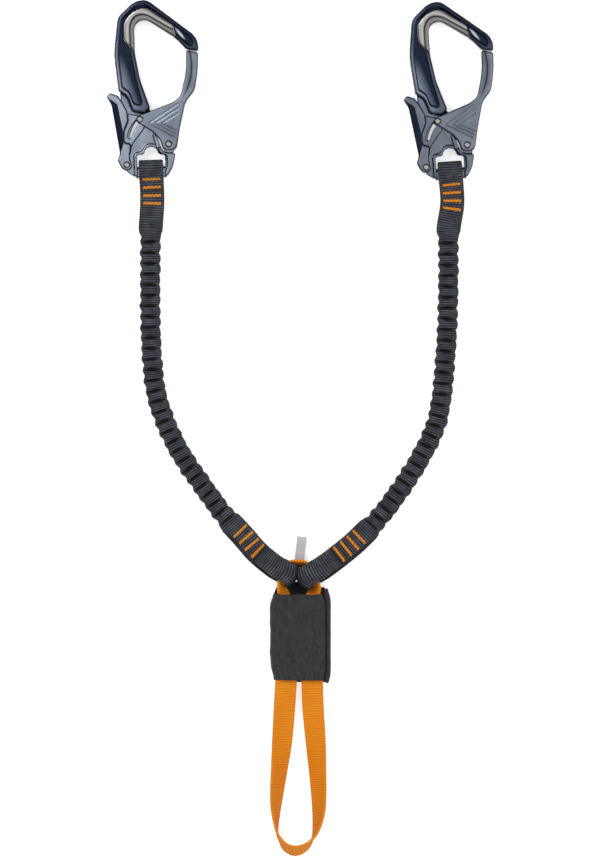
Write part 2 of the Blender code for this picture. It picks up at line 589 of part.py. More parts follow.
def add_carabiner(side, parent, location, turn, materials):
    """Assemble one connector on the pivot at its bar."""
    bar = pivot(f"carabiner_{side}_pivot", parent, location, turn)
    gate_axis = carabiner_point(GATE_HINGE_SHARES).to_3d()
    lever_axis = carabiner_point(LEVER_HINGE_SHARES).to_3d()
    gate_pivot = pivot(f"gate_{side}_pivot", bar, gate_axis)
    lever_pivot = pivot(f"lever_{side}_pivot", bar, lever_axis)
    alloy, steel = materials["alloy"], materials["steel"]
    place(make_frame(), f"carabiner_frame_{side}", alloy, bar)
    place(make_insert(), f"wear_insert_{side}", steel, bar)
    place(make_pin("pin", GATE_HINGE_SHARES), f"gate_rivet_{side}", steel, bar)
    place(make_pin("pin", LEVER_HINGE_SHARES), f"lever_rivet_{side}", steel, bar)
    place(make_gate(), f"gate_{side}", alloy, gate_pivot, gate_axis)
    place(make_pin("pin", GUIDE_PIN_SHARES), f"guide_pin_{side}", steel, gate_pivot, gate_axis)
    gate_spring = make_spring("spring", GATE_HINGE_SHARES, GATE_SPRING_START_DEGREES, GATE_SPRING_LEG)
    place(gate_spring, f"gate_spring_{side}", steel, gate_pivot, gate_axis)
    place(make_lever(), f"palm_lever_{side}", alloy, lever_pivot, lever_axis)
    lever_spring = make_spring("spring", LEVER_HINGE_SHARES, LEVER_SPRING_START_DEGREES, LEVER_SPRING_LEG)
    place(lever_spring, f"lever_spring_{side}", steel, lever_pivot, lever_axis)


def smooth(places, spacing):
    """Read evenly spaced places from a smooth curve through hand-chosen ones of any number of values."""
    knots = [[2 * a - b for a, b in zip(places[0], places[1])], *places,
             [2 * a - b for a, b in zip(places[-1], places[-2])]]
    dense = []
    for first, here, then, last in zip(knots, knots[1:], knots[2:], knots[3:]):
        for step in range(SMOOTH_STEPS):
            t = step / SMOOTH_STEPS
            shares = ((-t + 2 * t * t - t ** 3) / 2, (2 - 5 * t * t + 3 * t ** 3) / 2,
                      (t + 4 * t * t - 3 * t ** 3) / 2, (t ** 3 - t * t) / 2)
            near = zip(first, here, then, last)
            dense.append([sum(share * value for share, value in zip(shares, values)) for values in near])
    dense.append(list(places[-1]))
    lengths = [0.0]
    for back, ahead in zip(dense, dense[1:]):
        lengths.append(lengths[-1] + math.dist(back[:3], ahead[:3]))
    count = round(lengths[-1] / spacing)
    return [place_at(dense, lengths, lengths[-1] * step / count) for step in range(count + 1)], lengths[-1]


def place_at(dense, lengths, wanted):
    """Interpolate the values at a length along a fine polyline."""
    index = 0
    while index < len(lengths) - 2 and lengths[index + 1] < wanted:
        index += 1
    share = (wanted - lengths[index]) / (lengths[index + 1] - lengths[index])
    return [a + (b - a) * share for a, b in zip(dense[index], dense[index + 1])]


def plan_frame(route, distance):
    """Give the plan position and heading at a distance along a route of evenly spaced places."""
    share = min(max(distance / ROUTE_SPACING, 0), len(route) - 1.001)
    index = int(share)
    here, ahead = Vector(route[index][:2]), Vector(route[index + 1][:2])
    before = Vector(route[max(index - 1, 0)][:2])
    after = Vector(route[min(index + 2, len(route) - 1)][:2])
    fraction = share - index
    heading = (ahead - before).normalized().lerp((after - here).normalized(), fraction)
    return here.lerp(ahead, fraction), heading.normalized()


def section(half_width, half_height, flatness):
    """Give the places of a webbing's section; a high flatness makes it a flat strip."""
    places = []
    for step in range(SECTION_SIDES):
        turn = 2 * math.pi * step / SECTION_SIDES
        x, z = math.cos(turn), math.sin(turn)
        x = math.copysign(abs(x) ** (2 / flatness), x) * half_width
        z = math.copysign(abs(z) ** (2 / flatness), z) * half_height
        places.append((x, z))
    return places


def upper_stations():
    """List (distance, half width, half height, height, flatness) from the upper fold to the plain tube."""
    half, wall = WEBBING_WIDTH / 2, WEBBING_THICKNESS
    outer = BAR_LOOP_RADIUS + wall
    stations = []
    for share in FOLD_TURN_SHARES:
        turn = math.pi / 2 * share
        stations.append((outer * (1 - math.cos(turn)), half, outer * math.sin(turn), BAR_HEIGHT, FLAT))
    bar = outer + BAR_LOOP_STRETCH
    for along, swell in UPPER_TAPER_SHARES:
        height = BAR_HEIGHT + (UPPER_SEWN_HEIGHT - BAR_HEIGHT) * along * along
        stations.append((bar + UPPER_TAPER * along, half, wall + BAR_LOOP_RADIUS * swell, height, FLAT))
    end = bar + UPPER_SEWN
    stations.append((end, half, wall, UPPER_SEWN_HEIGHT, FLAT))
    stations.append((end + LAYER_STEP, half, TUBE_THICKNESS / 2 - LAYER_STEP / 2, TUBE_HEIGHT, FLAT))
    stations.append((end + PLAIN_LENGTH, half, TUBE_THICKNESS / 2 - LAYER_STEP / 2, TUBE_HEIGHT, FLAT))
    return stations


def lower_stations(length):
    """List the stations from the lower layer's end to the fold of the lower loop."""
    half, wall = WEBBING_WIDTH / 2, WEBBING_THICKNESS
    sewn = LOWER_TACK_FIRST + (TACK_COUNT - 1) * LOWER_TACK_PITCH + LOWER_TAIL
    stations = [
        (length - sewn - LAYER_STEP, half, TUBE_THICKNESS / 2 - LAYER_STEP / 2, TUBE_HEIGHT, FLAT),
        (length - sewn, half, wall, TUBE_HEIGHT, FLAT),
        (length - LOWER_TACK_FIRST, half, wall, LOOP_CLOSE_HEIGHT, FLAT),
    ]
    for distance, swell in ((LOOP_TAPER_END, 0.04), (LOOP_TAPER, 0.55), (LOOP_FULL, 1.0)):
        height = LOOP_CLOSE_HEIGHT + (LOOP_HEIGHT - LOOP_CLOSE_HEIGHT) * swell ** (1 / 2)
        stations.append((length - distance, half, wall + LOOP_INNER_HALF * swell, height, FLAT))
    corner = LOOP_CORNER + wall
    straight = LOOP_INNER_HALF - LOOP_CORNER
    for share in (1.0, 0.66, 0.33, 0.0):
        turn = math.pi / 2 * share
        distance = corner * (1 - math.cos(turn))
        stations.append((length - distance, half, straight + corner * math.sin(turn), LOOP_HEIGHT, FLAT))
    return stations


def arm_stations(length):
    """List all the stations of an arm, with a valley and a crest for each gather."""
    upper, lower = upper_stations(), lower_stations(length)
    first, last = upper[-1][0] + PLAIN_LENGTH / 4, lower[0][0] - PLAIN_LENGTH / 2
    pitch = (last - first) / GATHER_COUNT
    gathers = []
    for gather in range(GATHER_COUNT):
        valley = first + gather * pitch
        gathers.append((valley, VALLEY_WIDTH / 2, VALLEY_THICKNESS / 2, TUBE_HEIGHT, ROUND))
        gathers.append((valley + pitch / 2, CREST_WIDTH / 2, CREST_THICKNESS / 2, TUBE_HEIGHT, ROUND))
    gathers.append((last, VALLEY_WIDTH / 2, VALLEY_THICKNESS / 2, TUBE_HEIGHT, ROUND))
    return upper + gathers + lower


def station_at(stations, distance):
    """Interpolate half height and height between the stations."""
    for back, ahead in zip(stations, stations[1:]):
        if ahead[0] >= distance:
            share = (distance - back[0]) / (ahead[0] - back[0])
            return back[2] + (ahead[2] - back[2]) * share, back[3] + (ahead[3] - back[3]) * share
    return stations[-1][2], stations[-1][3]


def plan_ring(route, distance, places, height):
    """Stand a section across the route."""
    centre, heading = plan_frame(route, distance)
    side = -heading.orthogonal()
    return [Vector((*(centre + side * x), height + z)) for x, z in places]


def across(name, route, distance, profile, half):
    """Make a prism across the route from a profile of (distance ahead, height) places."""
    centre, heading = plan_frame(route, distance)
    side = heading.orthogonal()
    rings = []
    for reach in (-half, half):
        rings.append([Vector((*(centre + heading * point.x + side * reach), point.y)) for point in profile])
    return solid(name, rings)


def block(name, route, stations, distance, grow):
    """Make a bar tack's block, or with grow the slot that it sits in."""
    half_height, height = station_at(stations, distance)
    reach = half_height + TACK_PROUD + grow * OVERRUN / MOVING_CLEARANCE
    along = TACK_LENGTH / 2 + grow
    low, high = height - reach, height + reach
    corners = [(-along, low), (along, low), (along, high), (-along, high)]
    return across(name, route, distance, [Vector(corner) for corner in corners], TACK_WIDTH / 2 + grow)


def core(name, route, stations, ends, width, thickness):
    """Sweep a flat strip inside the tube, from one distance to another."""
    count = round((ends[1] - ends[0]) / CORE_SPACING)
    rings = []
    for step in range(count + 1):
        distance = ends[0] + (ends[1] - ends[0]) * step / count
        corners = ((-width, -thickness), (width, -thickness), (width, thickness), (-width, thickness))
        places = [(x / 2, z / 2) for x, z in corners]
        rings.append(plan_ring(route, distance, places, core_height(stations, distance)))
    return solid(name, rings)


def core_height(stations, distance):
    """Give the height of the tube's middle, evened out along the gathers."""
    return station_at(stations, distance)[1]


def add_arm(side, parent, materials):
    """Build one arm with its core and bar tacks, hung on the pivot at the crossing."""
    wall = WEBBING_THICKNESS
    turn = math.radians(CARABINER_TURN_DEGREES[side])
    down = Vector((math.sin(turn), -math.cos(turn)))
    bar = Vector(BAR_PLACE[side])
    tip = BAR_LOOP_RADIUS + wall + BAR_LOOP_STRETCH
    places = [bar - down * tip, bar, bar + down * STRAIGHT_AT_BAR]
    places += [Vector(place) for place in ARM_ROUTE[side]]
    route, length = smooth([(*place, 0.0) for place in places], ROUTE_SPACING)
    stations = arm_stations(length)
    rings = []
    for distance, half_width, half_height, height, flatness in stations:
        rings.append(plan_ring(route, distance, section(half_width, half_height, flatness), height))
    webbing = solid("arm", rings)

    half = WEBBING_WIDTH / 2 + OVERRUN
    stadium = outline((
        (-BAR_LOOP_RADIUS - BAR_LOOP_STRETCH, BAR_HEIGHT - BAR_LOOP_RADIUS, BAR_LOOP_RADIUS),
        (BAR_LOOP_RADIUS, BAR_HEIGHT - BAR_LOOP_RADIUS, BAR_LOOP_RADIUS),
        (BAR_LOOP_RADIUS, BAR_HEIGHT + BAR_LOOP_RADIUS, BAR_LOOP_RADIUS),
        (-BAR_LOOP_RADIUS - BAR_LOOP_STRETCH, BAR_HEIGHT + BAR_LOOP_RADIUS, BAR_LOOP_RADIUS),
    ), 1)
    low, high = LOOP_HEIGHT - LOOP_INNER_HALF, LOOP_HEIGHT + LOOP_INNER_HALF
    pocket = outline((
        (-wall, low, LOOP_CORNER), (-wall, high, LOOP_CORNER), (-LOOP_FULL, high, LOOP_CORNER),
        (wall - LOOP_TAPER_END, LOOP_CLOSE_HEIGHT, wall / 4), (-LOOP_FULL, low, LOOP_CORNER),
    ), 1)
    cutters = [
        across("bar_room", route, tip, stadium, half),
        across("strap_room", route, length, pocket, WEBBING_WIDTH),
    ]
    firsts = (tip + UPPER_TACK_FIRST[side], length - LOWER_TACK_FIRST)
    steps = (UPPER_TACK_PITCH, -LOWER_TACK_PITCH)
    tacks = [first + step * index for first, step in zip(firsts, steps) for index in range(TACK_COUNT)]
    for distance in tacks:
        cutters.append(block("slot", route, stations, distance, MOVING_CLEARANCE))
    ends = (tacks[TACK_COUNT - 1], tacks[-1])
    cutters.append(core("bore", route, stations, ends, CORE_BORE_WIDTH, CORE_BORE_THICKNESS))
    combine(webbing, "DIFFERENCE", *cutters)

    crossing = Vector((*CROSSING_PLACE[side], 0))
    arm = pivot(f"arm_{side}_pivot", parent, crossing)
    place(webbing, f"arm_webbing_{side}", materials["webbing"], arm, crossing)
    inside = (ends[0] + TACK_LENGTH, ends[1] - TACK_LENGTH)
    slack = 2 * MOVING_CLEARANCE
    strip = core("core", route, stations, inside, CORE_BORE_WIDTH - slack, CORE_BORE_THICKNESS - slack)
    place(strip, f"elastic_core_{side}", materials["rubber"], arm, crossing)
    for index, distance in enumerate(tacks):
        end = "upper" if index < TACK_COUNT else "lower"
        name = f"bar_tack_{side}_{end}_{index % TACK_COUNT + 1}"
        place(block(name, route, stations, distance, 0), name, materials["thread"], arm, crossing)
    bar_place = Vector((*bar, BAR_HEIGHT)) - crossing
    add_carabiner(side, arm, bar_place, turn, materials)


def strap(name, places, thickness):
    """Sweep a flat strap along a route; each place leans the strap about its own centre line."""
    route, length = smooth(places, STRAP_SPACING)
    rings = []
    for index, (x, y, z, lean, width) in enumerate(route):
        back, ahead = route[max(index - 1, 0)], route[min(index + 1, len(route) - 1)]
        heading = (Vector(ahead[:2]) - Vector(back[:2])).normalized()
        side, up = Vector((*heading.orthogonal(), 0)), Vector((0, 0, 1))
        turn = math.radians(lean)
        wide = (side * math.cos(turn) + up * math.sin(turn)) * (width / 2)
        thick = (up * math.cos(turn) - side * math.sin(turn)) * (thickness / 2)
        centre = Vector((x, y, z))
        under, over = centre - thick, centre + thick
        rings.append([under - wide, under + wide, over + wide, over - wide])
    return solid(name, rings)


def cover_profile():
    """Give the cover's section: a sheet wrapped once round, with its flap under the front panel."""
    wall, low = COVER_WALL, 0.0
    outside, inside = COVER_ROUNDING, COVER_ROUNDING - COVER_WALL
    flap = COVER_HEIGHT - wall - CLOSURE_THICKNESS - 2 * SEAT_CLEARANCE
    left, right, top, seam, end = COVER_LEFT, COVER_RIGHT, COVER_HEIGHT, COVER_SEAM, COVER_FLAP_REACH
    edge = wall / 4
    return outline((
        (seam, top, edge), (left, top, outside), (left, low, outside), (right, low, outside),
        (right, flap, outside), (end, flap, edge), (end, flap - wall, edge),
        (right - wall, flap - wall, inside), (right - wall, wall, inside), (left + wall, wall, inside),
        (left + wall, top - wall, inside), (seam, top - wall, edge),
    ), 1)


def make_cover():
    """Wrap the pouch cover and give its back the short lip above the front panel's edge."""
    middle = (COVER_LEFT + COVER_RIGHT) / 2
    profile = cover_profile()
    rings = []
    for along, narrow in COVER_STATIONS:
        rings.append([Vector((middle + (point.x - middle) * narrow, along, point.y)) for point in profile])
    cover = solid("cover", rings)
    inward = COVER_LIP_INSET + COVER_ROUNDING / 2
    left, right = COVER_LEFT + inward, COVER_RIGHT - inward
    start, end = COVER_STATIONS[0][0] - OVERRUN, COVER_LIP_END
    corners = ((left, start), (right, start), (right - OVERRUN, end), (left + OVERRUN, end))
    lip = prism("lip", [Vector(corner) for corner in corners], 0, COVER_WALL)
    return combine(cover, "UNION", lip)


def make_closure():
    """Cut the hook-and-loop strip that holds the flap under the front panel."""
    low = COVER_HEIGHT - COVER_WALL - CLOSURE_THICKNESS - SEAT_CLEARANCE
    left, right = COVER_FLAP_REACH + CLOSURE_MARGIN, COVER_SEAM - CLOSURE_MARGIN
    near, far = CLOSURE_ENDS
    corners = ((left, near), (right, near), (right, far), (left, far))
    return prism("closure", [Vector(corner) for corner in corners], low, low + CLOSURE_THICKNESS)


def make_pack():
    """Fold the tear webbing to and fro; its folds lie at alternate ends."""
    near, far = PACK_ENDS
    pitch = PACK_THICKNESS + PACK_GAP
    climb, descend = [(far, PACK_FLOOR)], [(near, PACK_FLOOR)]
    for layer in range(PACK_LAYERS - 1):
        top = PACK_FLOOR + layer * pitch + PACK_THICKNESS
        if layer % 2 == 0:
            inner = near + PACK_FOLD
            climb += [(far, top), (inner, top), (inner, top + PACK_GAP), (far, top + PACK_GAP)]
        else:
            inner = far - PACK_FOLD
            descend += [(near, top), (inner, top), (inner, top + PACK_GAP), (near, top + PACK_GAP)]
    height = PACK_FLOOR + PACK_LAYERS * pitch - PACK_GAP
    profile = [*climb, (far, height), (near, height), *descend[::-1]]
    left, right = PACK_SIDES
    return solid("pack", [[Vector((x, y, z)) for y, z in profile] for x in (left, right)])


def add_absorber(parent, materials):
    """Build the energy absorber that carries both arms."""
    place(make_cover(), "absorber_cover", materials["cover"], parent)
    place(make_closure(), "hook_and_loop_strip", materials["cover"], parent)
    place(make_pack(), "tear_pack", materials["webbing"], parent)
    place(strap("top", TOP_LOOP_ROUTE, STRAP_THICKNESS), "top_loop", materials["strap"], parent)
    place(strap("tie", TIE_IN_ROUTE, STRAP_THICKNESS), "tie_in_loop", materials["strap"], parent)
    place(strap("tab", TAB_ROUTE, TAB_THICKNESS), "label_tab", materials["label"], parent)


def main():
    """Build the whole lanyard."""
    clear_scene()
    materials = {
        "alloy": material("satin_alloy", (0.30, 0.34, 0.42), 0.35, 0.9),
        "steel": material("steel", (0.55, 0.53, 0.50), 0.3, 1.0),
        "webbing": material("charcoal_webbing", (0.03, 0.03, 0.035), 0.9),
        "rubber": material("elastic_core", (0.6, 0.58, 0.5), 0.7),
        "thread": material("orange_thread", (0.75, 0.25, 0.03), 0.7),
        "strap": material("orange_webbing", (0.78, 0.27, 0.03), 0.8),
        "cover": material("charcoal_fabric", (0.05, 0.05, 0.055), 0.85),
        "label": material("pale_label", (0.6, 0.6, 0.6), 0.6),
    }
    origin = pivot("absorber_origin", None, ORIGIN_SHIFT)
    for side in ("left", "right"):
        add_arm(side, origin, materials)
    add_absorber(origin, materials)


main()
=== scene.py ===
"""Dressed scene of a via ferrata lanyard that lies flat on a pale table."""
import math

import bpy
import numpy as np
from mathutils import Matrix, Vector


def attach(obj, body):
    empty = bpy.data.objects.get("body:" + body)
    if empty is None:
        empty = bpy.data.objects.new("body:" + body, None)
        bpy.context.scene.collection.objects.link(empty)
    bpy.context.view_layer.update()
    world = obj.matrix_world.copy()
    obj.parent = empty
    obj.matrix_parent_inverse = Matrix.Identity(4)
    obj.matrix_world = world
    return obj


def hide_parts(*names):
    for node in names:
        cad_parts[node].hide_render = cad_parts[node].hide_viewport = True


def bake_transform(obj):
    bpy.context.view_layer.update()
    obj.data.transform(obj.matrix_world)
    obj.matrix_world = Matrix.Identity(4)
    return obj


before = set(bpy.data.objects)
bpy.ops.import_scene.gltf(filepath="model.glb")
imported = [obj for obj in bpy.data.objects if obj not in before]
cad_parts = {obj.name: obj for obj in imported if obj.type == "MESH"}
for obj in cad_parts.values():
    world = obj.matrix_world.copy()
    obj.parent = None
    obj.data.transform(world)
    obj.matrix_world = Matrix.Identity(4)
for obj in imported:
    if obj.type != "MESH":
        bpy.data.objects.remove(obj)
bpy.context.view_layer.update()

# Camera, table and lamps. The lanyard lies face up and the camera looks straight down on it
# from far away, so that nothing leans. The table is nearly white, and lamps to the upper left
# and right give the metal soft reflections.
CAMERA_HEIGHT = 5.0
VIEW_LENGTH = 0.7070
VIEW_CENTRE = (-0.00025, -0.00014)
WORKING_HEIGHT = 0.010
TABLE_DROP = 0.0002

eye = bpy.data.cameras.new("camera")
eye.sensor_width = 36.0
eye.lens = eye.sensor_width * (CAMERA_HEIGHT - WORKING_HEIGHT) / VIEW_LENGTH
eye.clip_end = 50.0
camera = bpy.data.objects.new("camera", eye)
bpy.context.scene.collection.objects.link(camera)
camera.location = (*VIEW_CENTRE, CAMERA_HEIGHT)
bpy.context.scene.camera = camera
bpy.context.scene.view_settings.view_transform = "Standard"


def feed(tree, target, **inputs):
    """Set a node's inputs by name or number: a (node, output) pair is wired, else it is a value."""
    for key, value in inputs.items():
        socket = target.inputs[int(key[1:]) if key[1:].isdigit() else key.replace("_", " ")]
        if isinstance(value, tuple) and isinstance(value[0], bpy.types.Node):
            tree.links.new(value[0].outputs[value[1]], socket)
        else:
            socket.default_value = value


def node_maker(tree):
    """Give the function that adds a node to a tree, with its settings and its inputs."""

    def node(kind, settings=(), **inputs):
        added = tree.nodes.new("ShaderNode" + kind)
        for key, value in dict(settings).items():
            setattr(added, key, value)
        feed(tree, added, **inputs)
        return added

    return node


def new_material(name):
    """Start a material and give its node tree, its shader and the function that adds a node."""
    made = bpy.data.materials.new(name)
    made.use_nodes = True
    tree = made.node_tree
    return made, tree, tree.nodes["Principled BSDF"], node_maker(tree)


def calc(node, operation, *values):
    """Add a math node that works on values and (node, output) pairs."""
    inputs = {f"_{number}": value for number, value in enumerate(values)}
    return node("Math", {"operation": operation}, **inputs)


def ramp(node, fac, *stops):
    """Add a colour ramp with (place, colour) stops, read at fac."""
    made = node("ValToRGB", _0=fac)
    band = made.color_ramp
    while len(band.elements) < len(stops):
        band.elements.new(0.5)
    for element, (place, colour) in zip(band.elements, stops):
        element.position = place
        element.color = (*colour, 1.0)
    return made


def lamp(name, place, size, power):
    """Hang a soft square lamp that faces the middle of the table."""
    light = bpy.data.lights.new(name, "AREA")
    light.size = size
    light.energy = power
    hung = bpy.data.objects.new(name, light)
    bpy.context.scene.collection.objects.link(hung)
    hung.location = place
    hung.rotation_euler = (-Vector(place)).to_track_quat("-Z", "Y").to_euler()


lamp("key_lamp", (-0.9, 0.9, 1.6), 0.9, 15.0)
lamp("fill_lamp", (1.1, 0.2, 1.4), 0.8, 6.5)
lamp("low_lamp", (0.1, -1.2, 1.2), 0.8, 6.0)

# The room is brightest overhead and dimmer towards its walls, and white to the camera.
world = bpy.data.worlds.new("room")
bpy.context.scene.world = world
world.use_nodes = True
room = world.node_tree
node = node_maker(room)
ray = node("LightPath")
place = node("TexCoord")
split = node("SeparateXYZ", _0=(place, "Generated"))
upward = ramp(node, (split, 2), (0.05, (0.38,) * 3), (0.70, (0.42,) * 3), (0.93, (0.66,) * 3),
              (1.00, (1.0,) * 3))
soft = calc(node, "MULTIPLY", (ray, "Is Diffuse Ray"), 0.40)
lit = calc(node, "MAXIMUM", (upward, 0), (soft, 0))
seen = calc(node, "MAXIMUM", (lit, 0), (ray, "Is Camera Ray"))
feed(room, room.nodes["Background"], Color=(1.0, 1.0, 1.0, 1.0), Strength=(seen, 0))

table_mesh = bpy.data.meshes.new("table_top")
table_mesh.from_pydata([(-6, -6, 0), (6, -6, 0), (6, 6, 0), (-6, 6, 0)], [], [(0, 1, 2, 3)])
table = bpy.data.objects.new("table_top", table_mesh)
bpy.context.scene.collection.objects.link(table)
table.location.z = -TABLE_DROP
white, tree, shader, node = new_material("white_table")
feed(tree, shader, Base_Color=(0.86, 0.86, 0.86, 1.0), Roughness=0.9)
ray = node("LightPath")
glow = node("Emission", Color=(1.0, 1.0, 1.0, 1.0), Strength=0.56)
direct = calc(node, "MAXIMUM", (ray, "Is Camera Ray"), (ray, "Is Glossy Ray"))
lit = node("AddShader", _0=(shader, 0), _1=(glow, 0))
chosen = node("MixShader", _0=(direct, 0), _1=(shader, 0), _2=(lit, 0))
feed(tree, tree.nodes["Material Output"], Surface=(chosen, 0))
table_mesh.materials.append(white)

# Webbing arms. Each arm is a tube of black elastic webbing, gathered into soft bulges over a
# rubber core. Its ends are pressed flat, folded round the connector's bar and round the orange
# strap, and sewn back onto themselves. SHIFT carries plan places to the solids' own origin.
WALL = 0.0020
BAND = 0.0200
RIB = 0.0020
BAND_SIDES = 40
BAR_HEIGHT = 0.0075
BAR_BEND = 0.0053
BAR_SLACK = 0.0029
TIP = BAR_BEND + WALL + BAR_SLACK
SEWN_UPPER = 0.0462
SEWN_LOWER = 0.0654
FIRST_LOWER_TACK = 0.0355
TUBE_HEIGHT = 0.0050
CROSSING_HEIGHT = 0.0128
GATHERS = 28
PLAIN_UPPER, PLAIN_LOWER = 0.0116, 0.0060
RIBS_PER_GATHER = 4.6
STRAIGHT = 0.0240
BLEND_RUN = (0.0020, 0.0320)
PRESSED_HALF_WIDTH, PRESSED_HALF_HEIGHT = 0.0099, 0.0020
FOLD_REACH = {"left": -0.0008, "right": 0.0002}
SHIFT = np.array((-0.00248, -0.00039))
BARS = {"left": (-0.1206, 0.2118), "right": (0.1263, 0.2106)}
TURNS = {"left": math.radians(2.0), "right": math.radians(4.0)}
ROUTES = {
    "left": (
        (-0.1211, 0.1640), (-0.1213, 0.1400), (-0.1215, 0.1145), (-0.1211, 0.0815),
        (-0.1195, 0.0526), (-0.1162, 0.0279), (-0.1079, 0.0031), (-0.0955, -0.0216),
        (-0.0786, -0.0464), (-0.0605, -0.0711), (-0.0440, -0.0895), (-0.0330, -0.1020),
        (-0.0188, -0.1138), (-0.0114, -0.1176), (-0.0042, -0.1210),
    ),
    "right": (
        (0.1248, 0.1640), (0.1248, 0.1400), (0.1246, 0.1145), (0.1237, 0.0815),
        (0.1217, 0.0526), (0.1194, 0.0279), (0.1144, 0.0031), (0.1029, -0.0216),
        (0.0876, -0.0464), (0.0695, -0.0711), (0.0517, -0.0901), (0.0385, -0.1016),
        (0.0222, -0.1140), (0.0134, -0.1192), (0.0057, -0.1238),
    ),
}


def lengths_along(line):
    """Give the length run at each place of a line."""
    return np.concatenate([[0.0], np.cumsum(np.linalg.norm(np.diff(line, axis=0), axis=1))])


def headings(line):
    """Give a line's unit direction at each of its places."""
    ahead = np.gradient(line, axis=0)
    return ahead / np.linalg.norm(ahead, axis=1)[:, None]


def curve_through(places, spacing):
    """Read a smooth curve at even steps of its length. Between P1 and P2 it is the cubic that
    leaves P1 along (P2 - P0) / 2 and meets P2 along (P3 - P1) / 2."""
    knots = np.asarray(places, float)
    knots = np.vstack([2 * knots[0] - knots[1], knots, 2 * knots[-1] - knots[-2]])
    t = (np.arange(32) / 32)[:, None, None]
    a, b, c, d = knots[:-3], knots[1:-2], knots[2:-1], knots[3:]
    slope, square, cube = c - a, 2 * a - 5 * b + 4 * c - d, 3 * b - a - 3 * c + d
    dense = b + (slope * t + square * t ** 2 + cube * t ** 3) / 2
    dense = np.vstack([dense.transpose(1, 0, 2).reshape(-1, knots.shape[1]), knots[-2]])
    run = lengths_along(dense[:, :3])
    lengths = np.linspace(0.0, run[-1], round(run[-1] / spacing) + 1)
    return lengths, np.stack([np.interp(lengths, run, column) for column in dense.T], axis=1)


def rounded_power(wave, sharpness):
    """Square a sine or cosine up: its size to the power 2 / sharpness, with its own sign."""
    return np.sign(wave) * np.abs(wave) ** (2.0 / sharpness)


def shell(name, points, finish, along=None, around=None, hollow=0.0):
    """Make a closed smooth mesh from a (rows, columns, 3) array whose columns run round a section,
    and close both ends to their middles. The UV map holds metres: along each row, and around each
    column. The last argument is each point's share of painted shade, a darkening of its colour."""
    rows, columns = points.shape[:2]
    r = np.arange(rows - 1)[:, None]
    c = np.arange(columns)[None, :]
    here, ahead, beside = r * columns, (r + 1) * columns, (c + 1) % columns
    corners = np.broadcast_arrays(here + c, here + beside, ahead + beside, ahead + c)
    quads = np.stack(corners, -1).reshape(-1, 4)
    if along is None:
        along = lengths_along(points.mean(axis=1))
    if around is None:
        around = lengths_along(np.vstack([points[rows // 2], points[rows // 2, :1]]))
    u = np.stack(np.broadcast_arrays(along[r], along[r], along[r + 1], along[r + 1]), -1)
    v = np.stack(np.broadcast_arrays(around[c], around[c + 1], around[c + 1], around[c]), -1)
    uv = np.stack(np.broadcast_arrays(u, v), -1).reshape(-1, 2)
    shade_share = np.append(np.broadcast_to(hollow, (rows, columns)).ravel(), (0.0, 0.0))
    first, last, end_row = rows * columns, rows * columns + 1, (rows - 1) * columns
    vertices = np.vstack([points.reshape(-1, 3), points[0].mean(axis=0), points[-1].mean(axis=0)])
    c, beside = c[0], beside[0]
    near = np.stack([beside, c, np.full(columns, first)], -1)
    far = np.stack([end_row + c, end_row + beside, np.full(columns, last)], -1)
    faces = quads.tolist() + near.tolist() + far.tolist()
    middle = np.full(columns, around[-1] / 2)
    for row, order in ((0, (around[1:], around[:-1])), (-1, (around[:-1], around[1:]))):
        cap = np.stack([np.full((columns, 3), along[row]), np.stack([*order, middle], -1)], -1)
        uv = np.vstack([uv, cap.reshape(-1, 2)])
    mesh = bpy.data.meshes.new(name)
    mesh.from_pydata(vertices.tolist(), [], faces)
    mesh.uv_layers.new(name="UVMap").data.foreach_set("uv", uv.ravel())
    mesh.attributes.new("hollow", "FLOAT", "POINT").data.foreach_set("value", shade_share)
    mesh.polygons.foreach_set("use_smooth", np.ones(len(mesh.polygons), bool))
    mesh.materials.append(finish)
    turn_outward(mesh)
    made = bpy.data.objects.new(name, mesh)
    bpy.context.scene.collection.objects.link(made)
    return made


def turn_outward(mesh):
    """Flip every face of a closed mesh whose signed volume is negative. The volume is a sixth of
    the sum of p0 . (p1 x p2) over its triangles."""
    mesh.calc_loop_triangles()
    corners = np.empty(len(mesh.loop_triangles) * 3, int)
    mesh.loop_triangles.foreach_get("vertices", corners)
    places = np.empty(len(mesh.vertices) * 3)
    mesh.vertices.foreach_get("co", places)
    p0, p1, p2 = places.reshape(-1, 3)[corners.reshape(-1, 3)].transpose(1, 0, 2)
    if np.einsum("ij,ij->i", p0, np.cross(p1, p2)).sum() < 0:
        mesh.flip_normals()


def joined(name, *parts):
    """Join closed shells into one object."""
    with bpy.context.temp_override(active_object=parts[0], selected_editable_objects=list(parts)):
        bpy.ops.object.join()
    parts[0].name = parts[0].data.name = name
    return parts[0]


def arm_line(side):
    """Trace an arm's middle in plan from the connector's bar to the crossing; gives a reader of
    (x, y) and of the sideways direction at any distance from the upper tip."""
    turn = TURNS[side]
    down = np.array((math.sin(turn), -math.cos(turn)))
    bar = np.array(BARS[side])
    places = [bar - down * TIP, bar, bar + down * STRAIGHT, *np.array(ROUTES[side])]
    lengths, line = curve_through(np.array(places) + SHIFT, 0.0010)
    heading = headings(line)

    def read(distance):
        place = np.stack([np.interp(distance, lengths, line[:, k]) for k in (0, 1)], -1)
        ahead = np.stack([np.interp(distance, lengths, heading[:, k]) for k in (0, 1)], -1)
        past = np.where(distance < 0, distance, np.maximum(distance - lengths[-1], 0))
        return place + ahead * past[..., None], np.stack([-ahead[..., 1], ahead[..., 0]], -1)

    return read, lengths[-1]


def ribs_at(phase, relief):
    """Give a webbing's cross ribs: relief times |cos(pi phase)| to the power 0.8 less 0.6."""
    return relief * (np.abs(np.cos(np.pi * phase)) ** 0.8 - 0.6)[:, None]


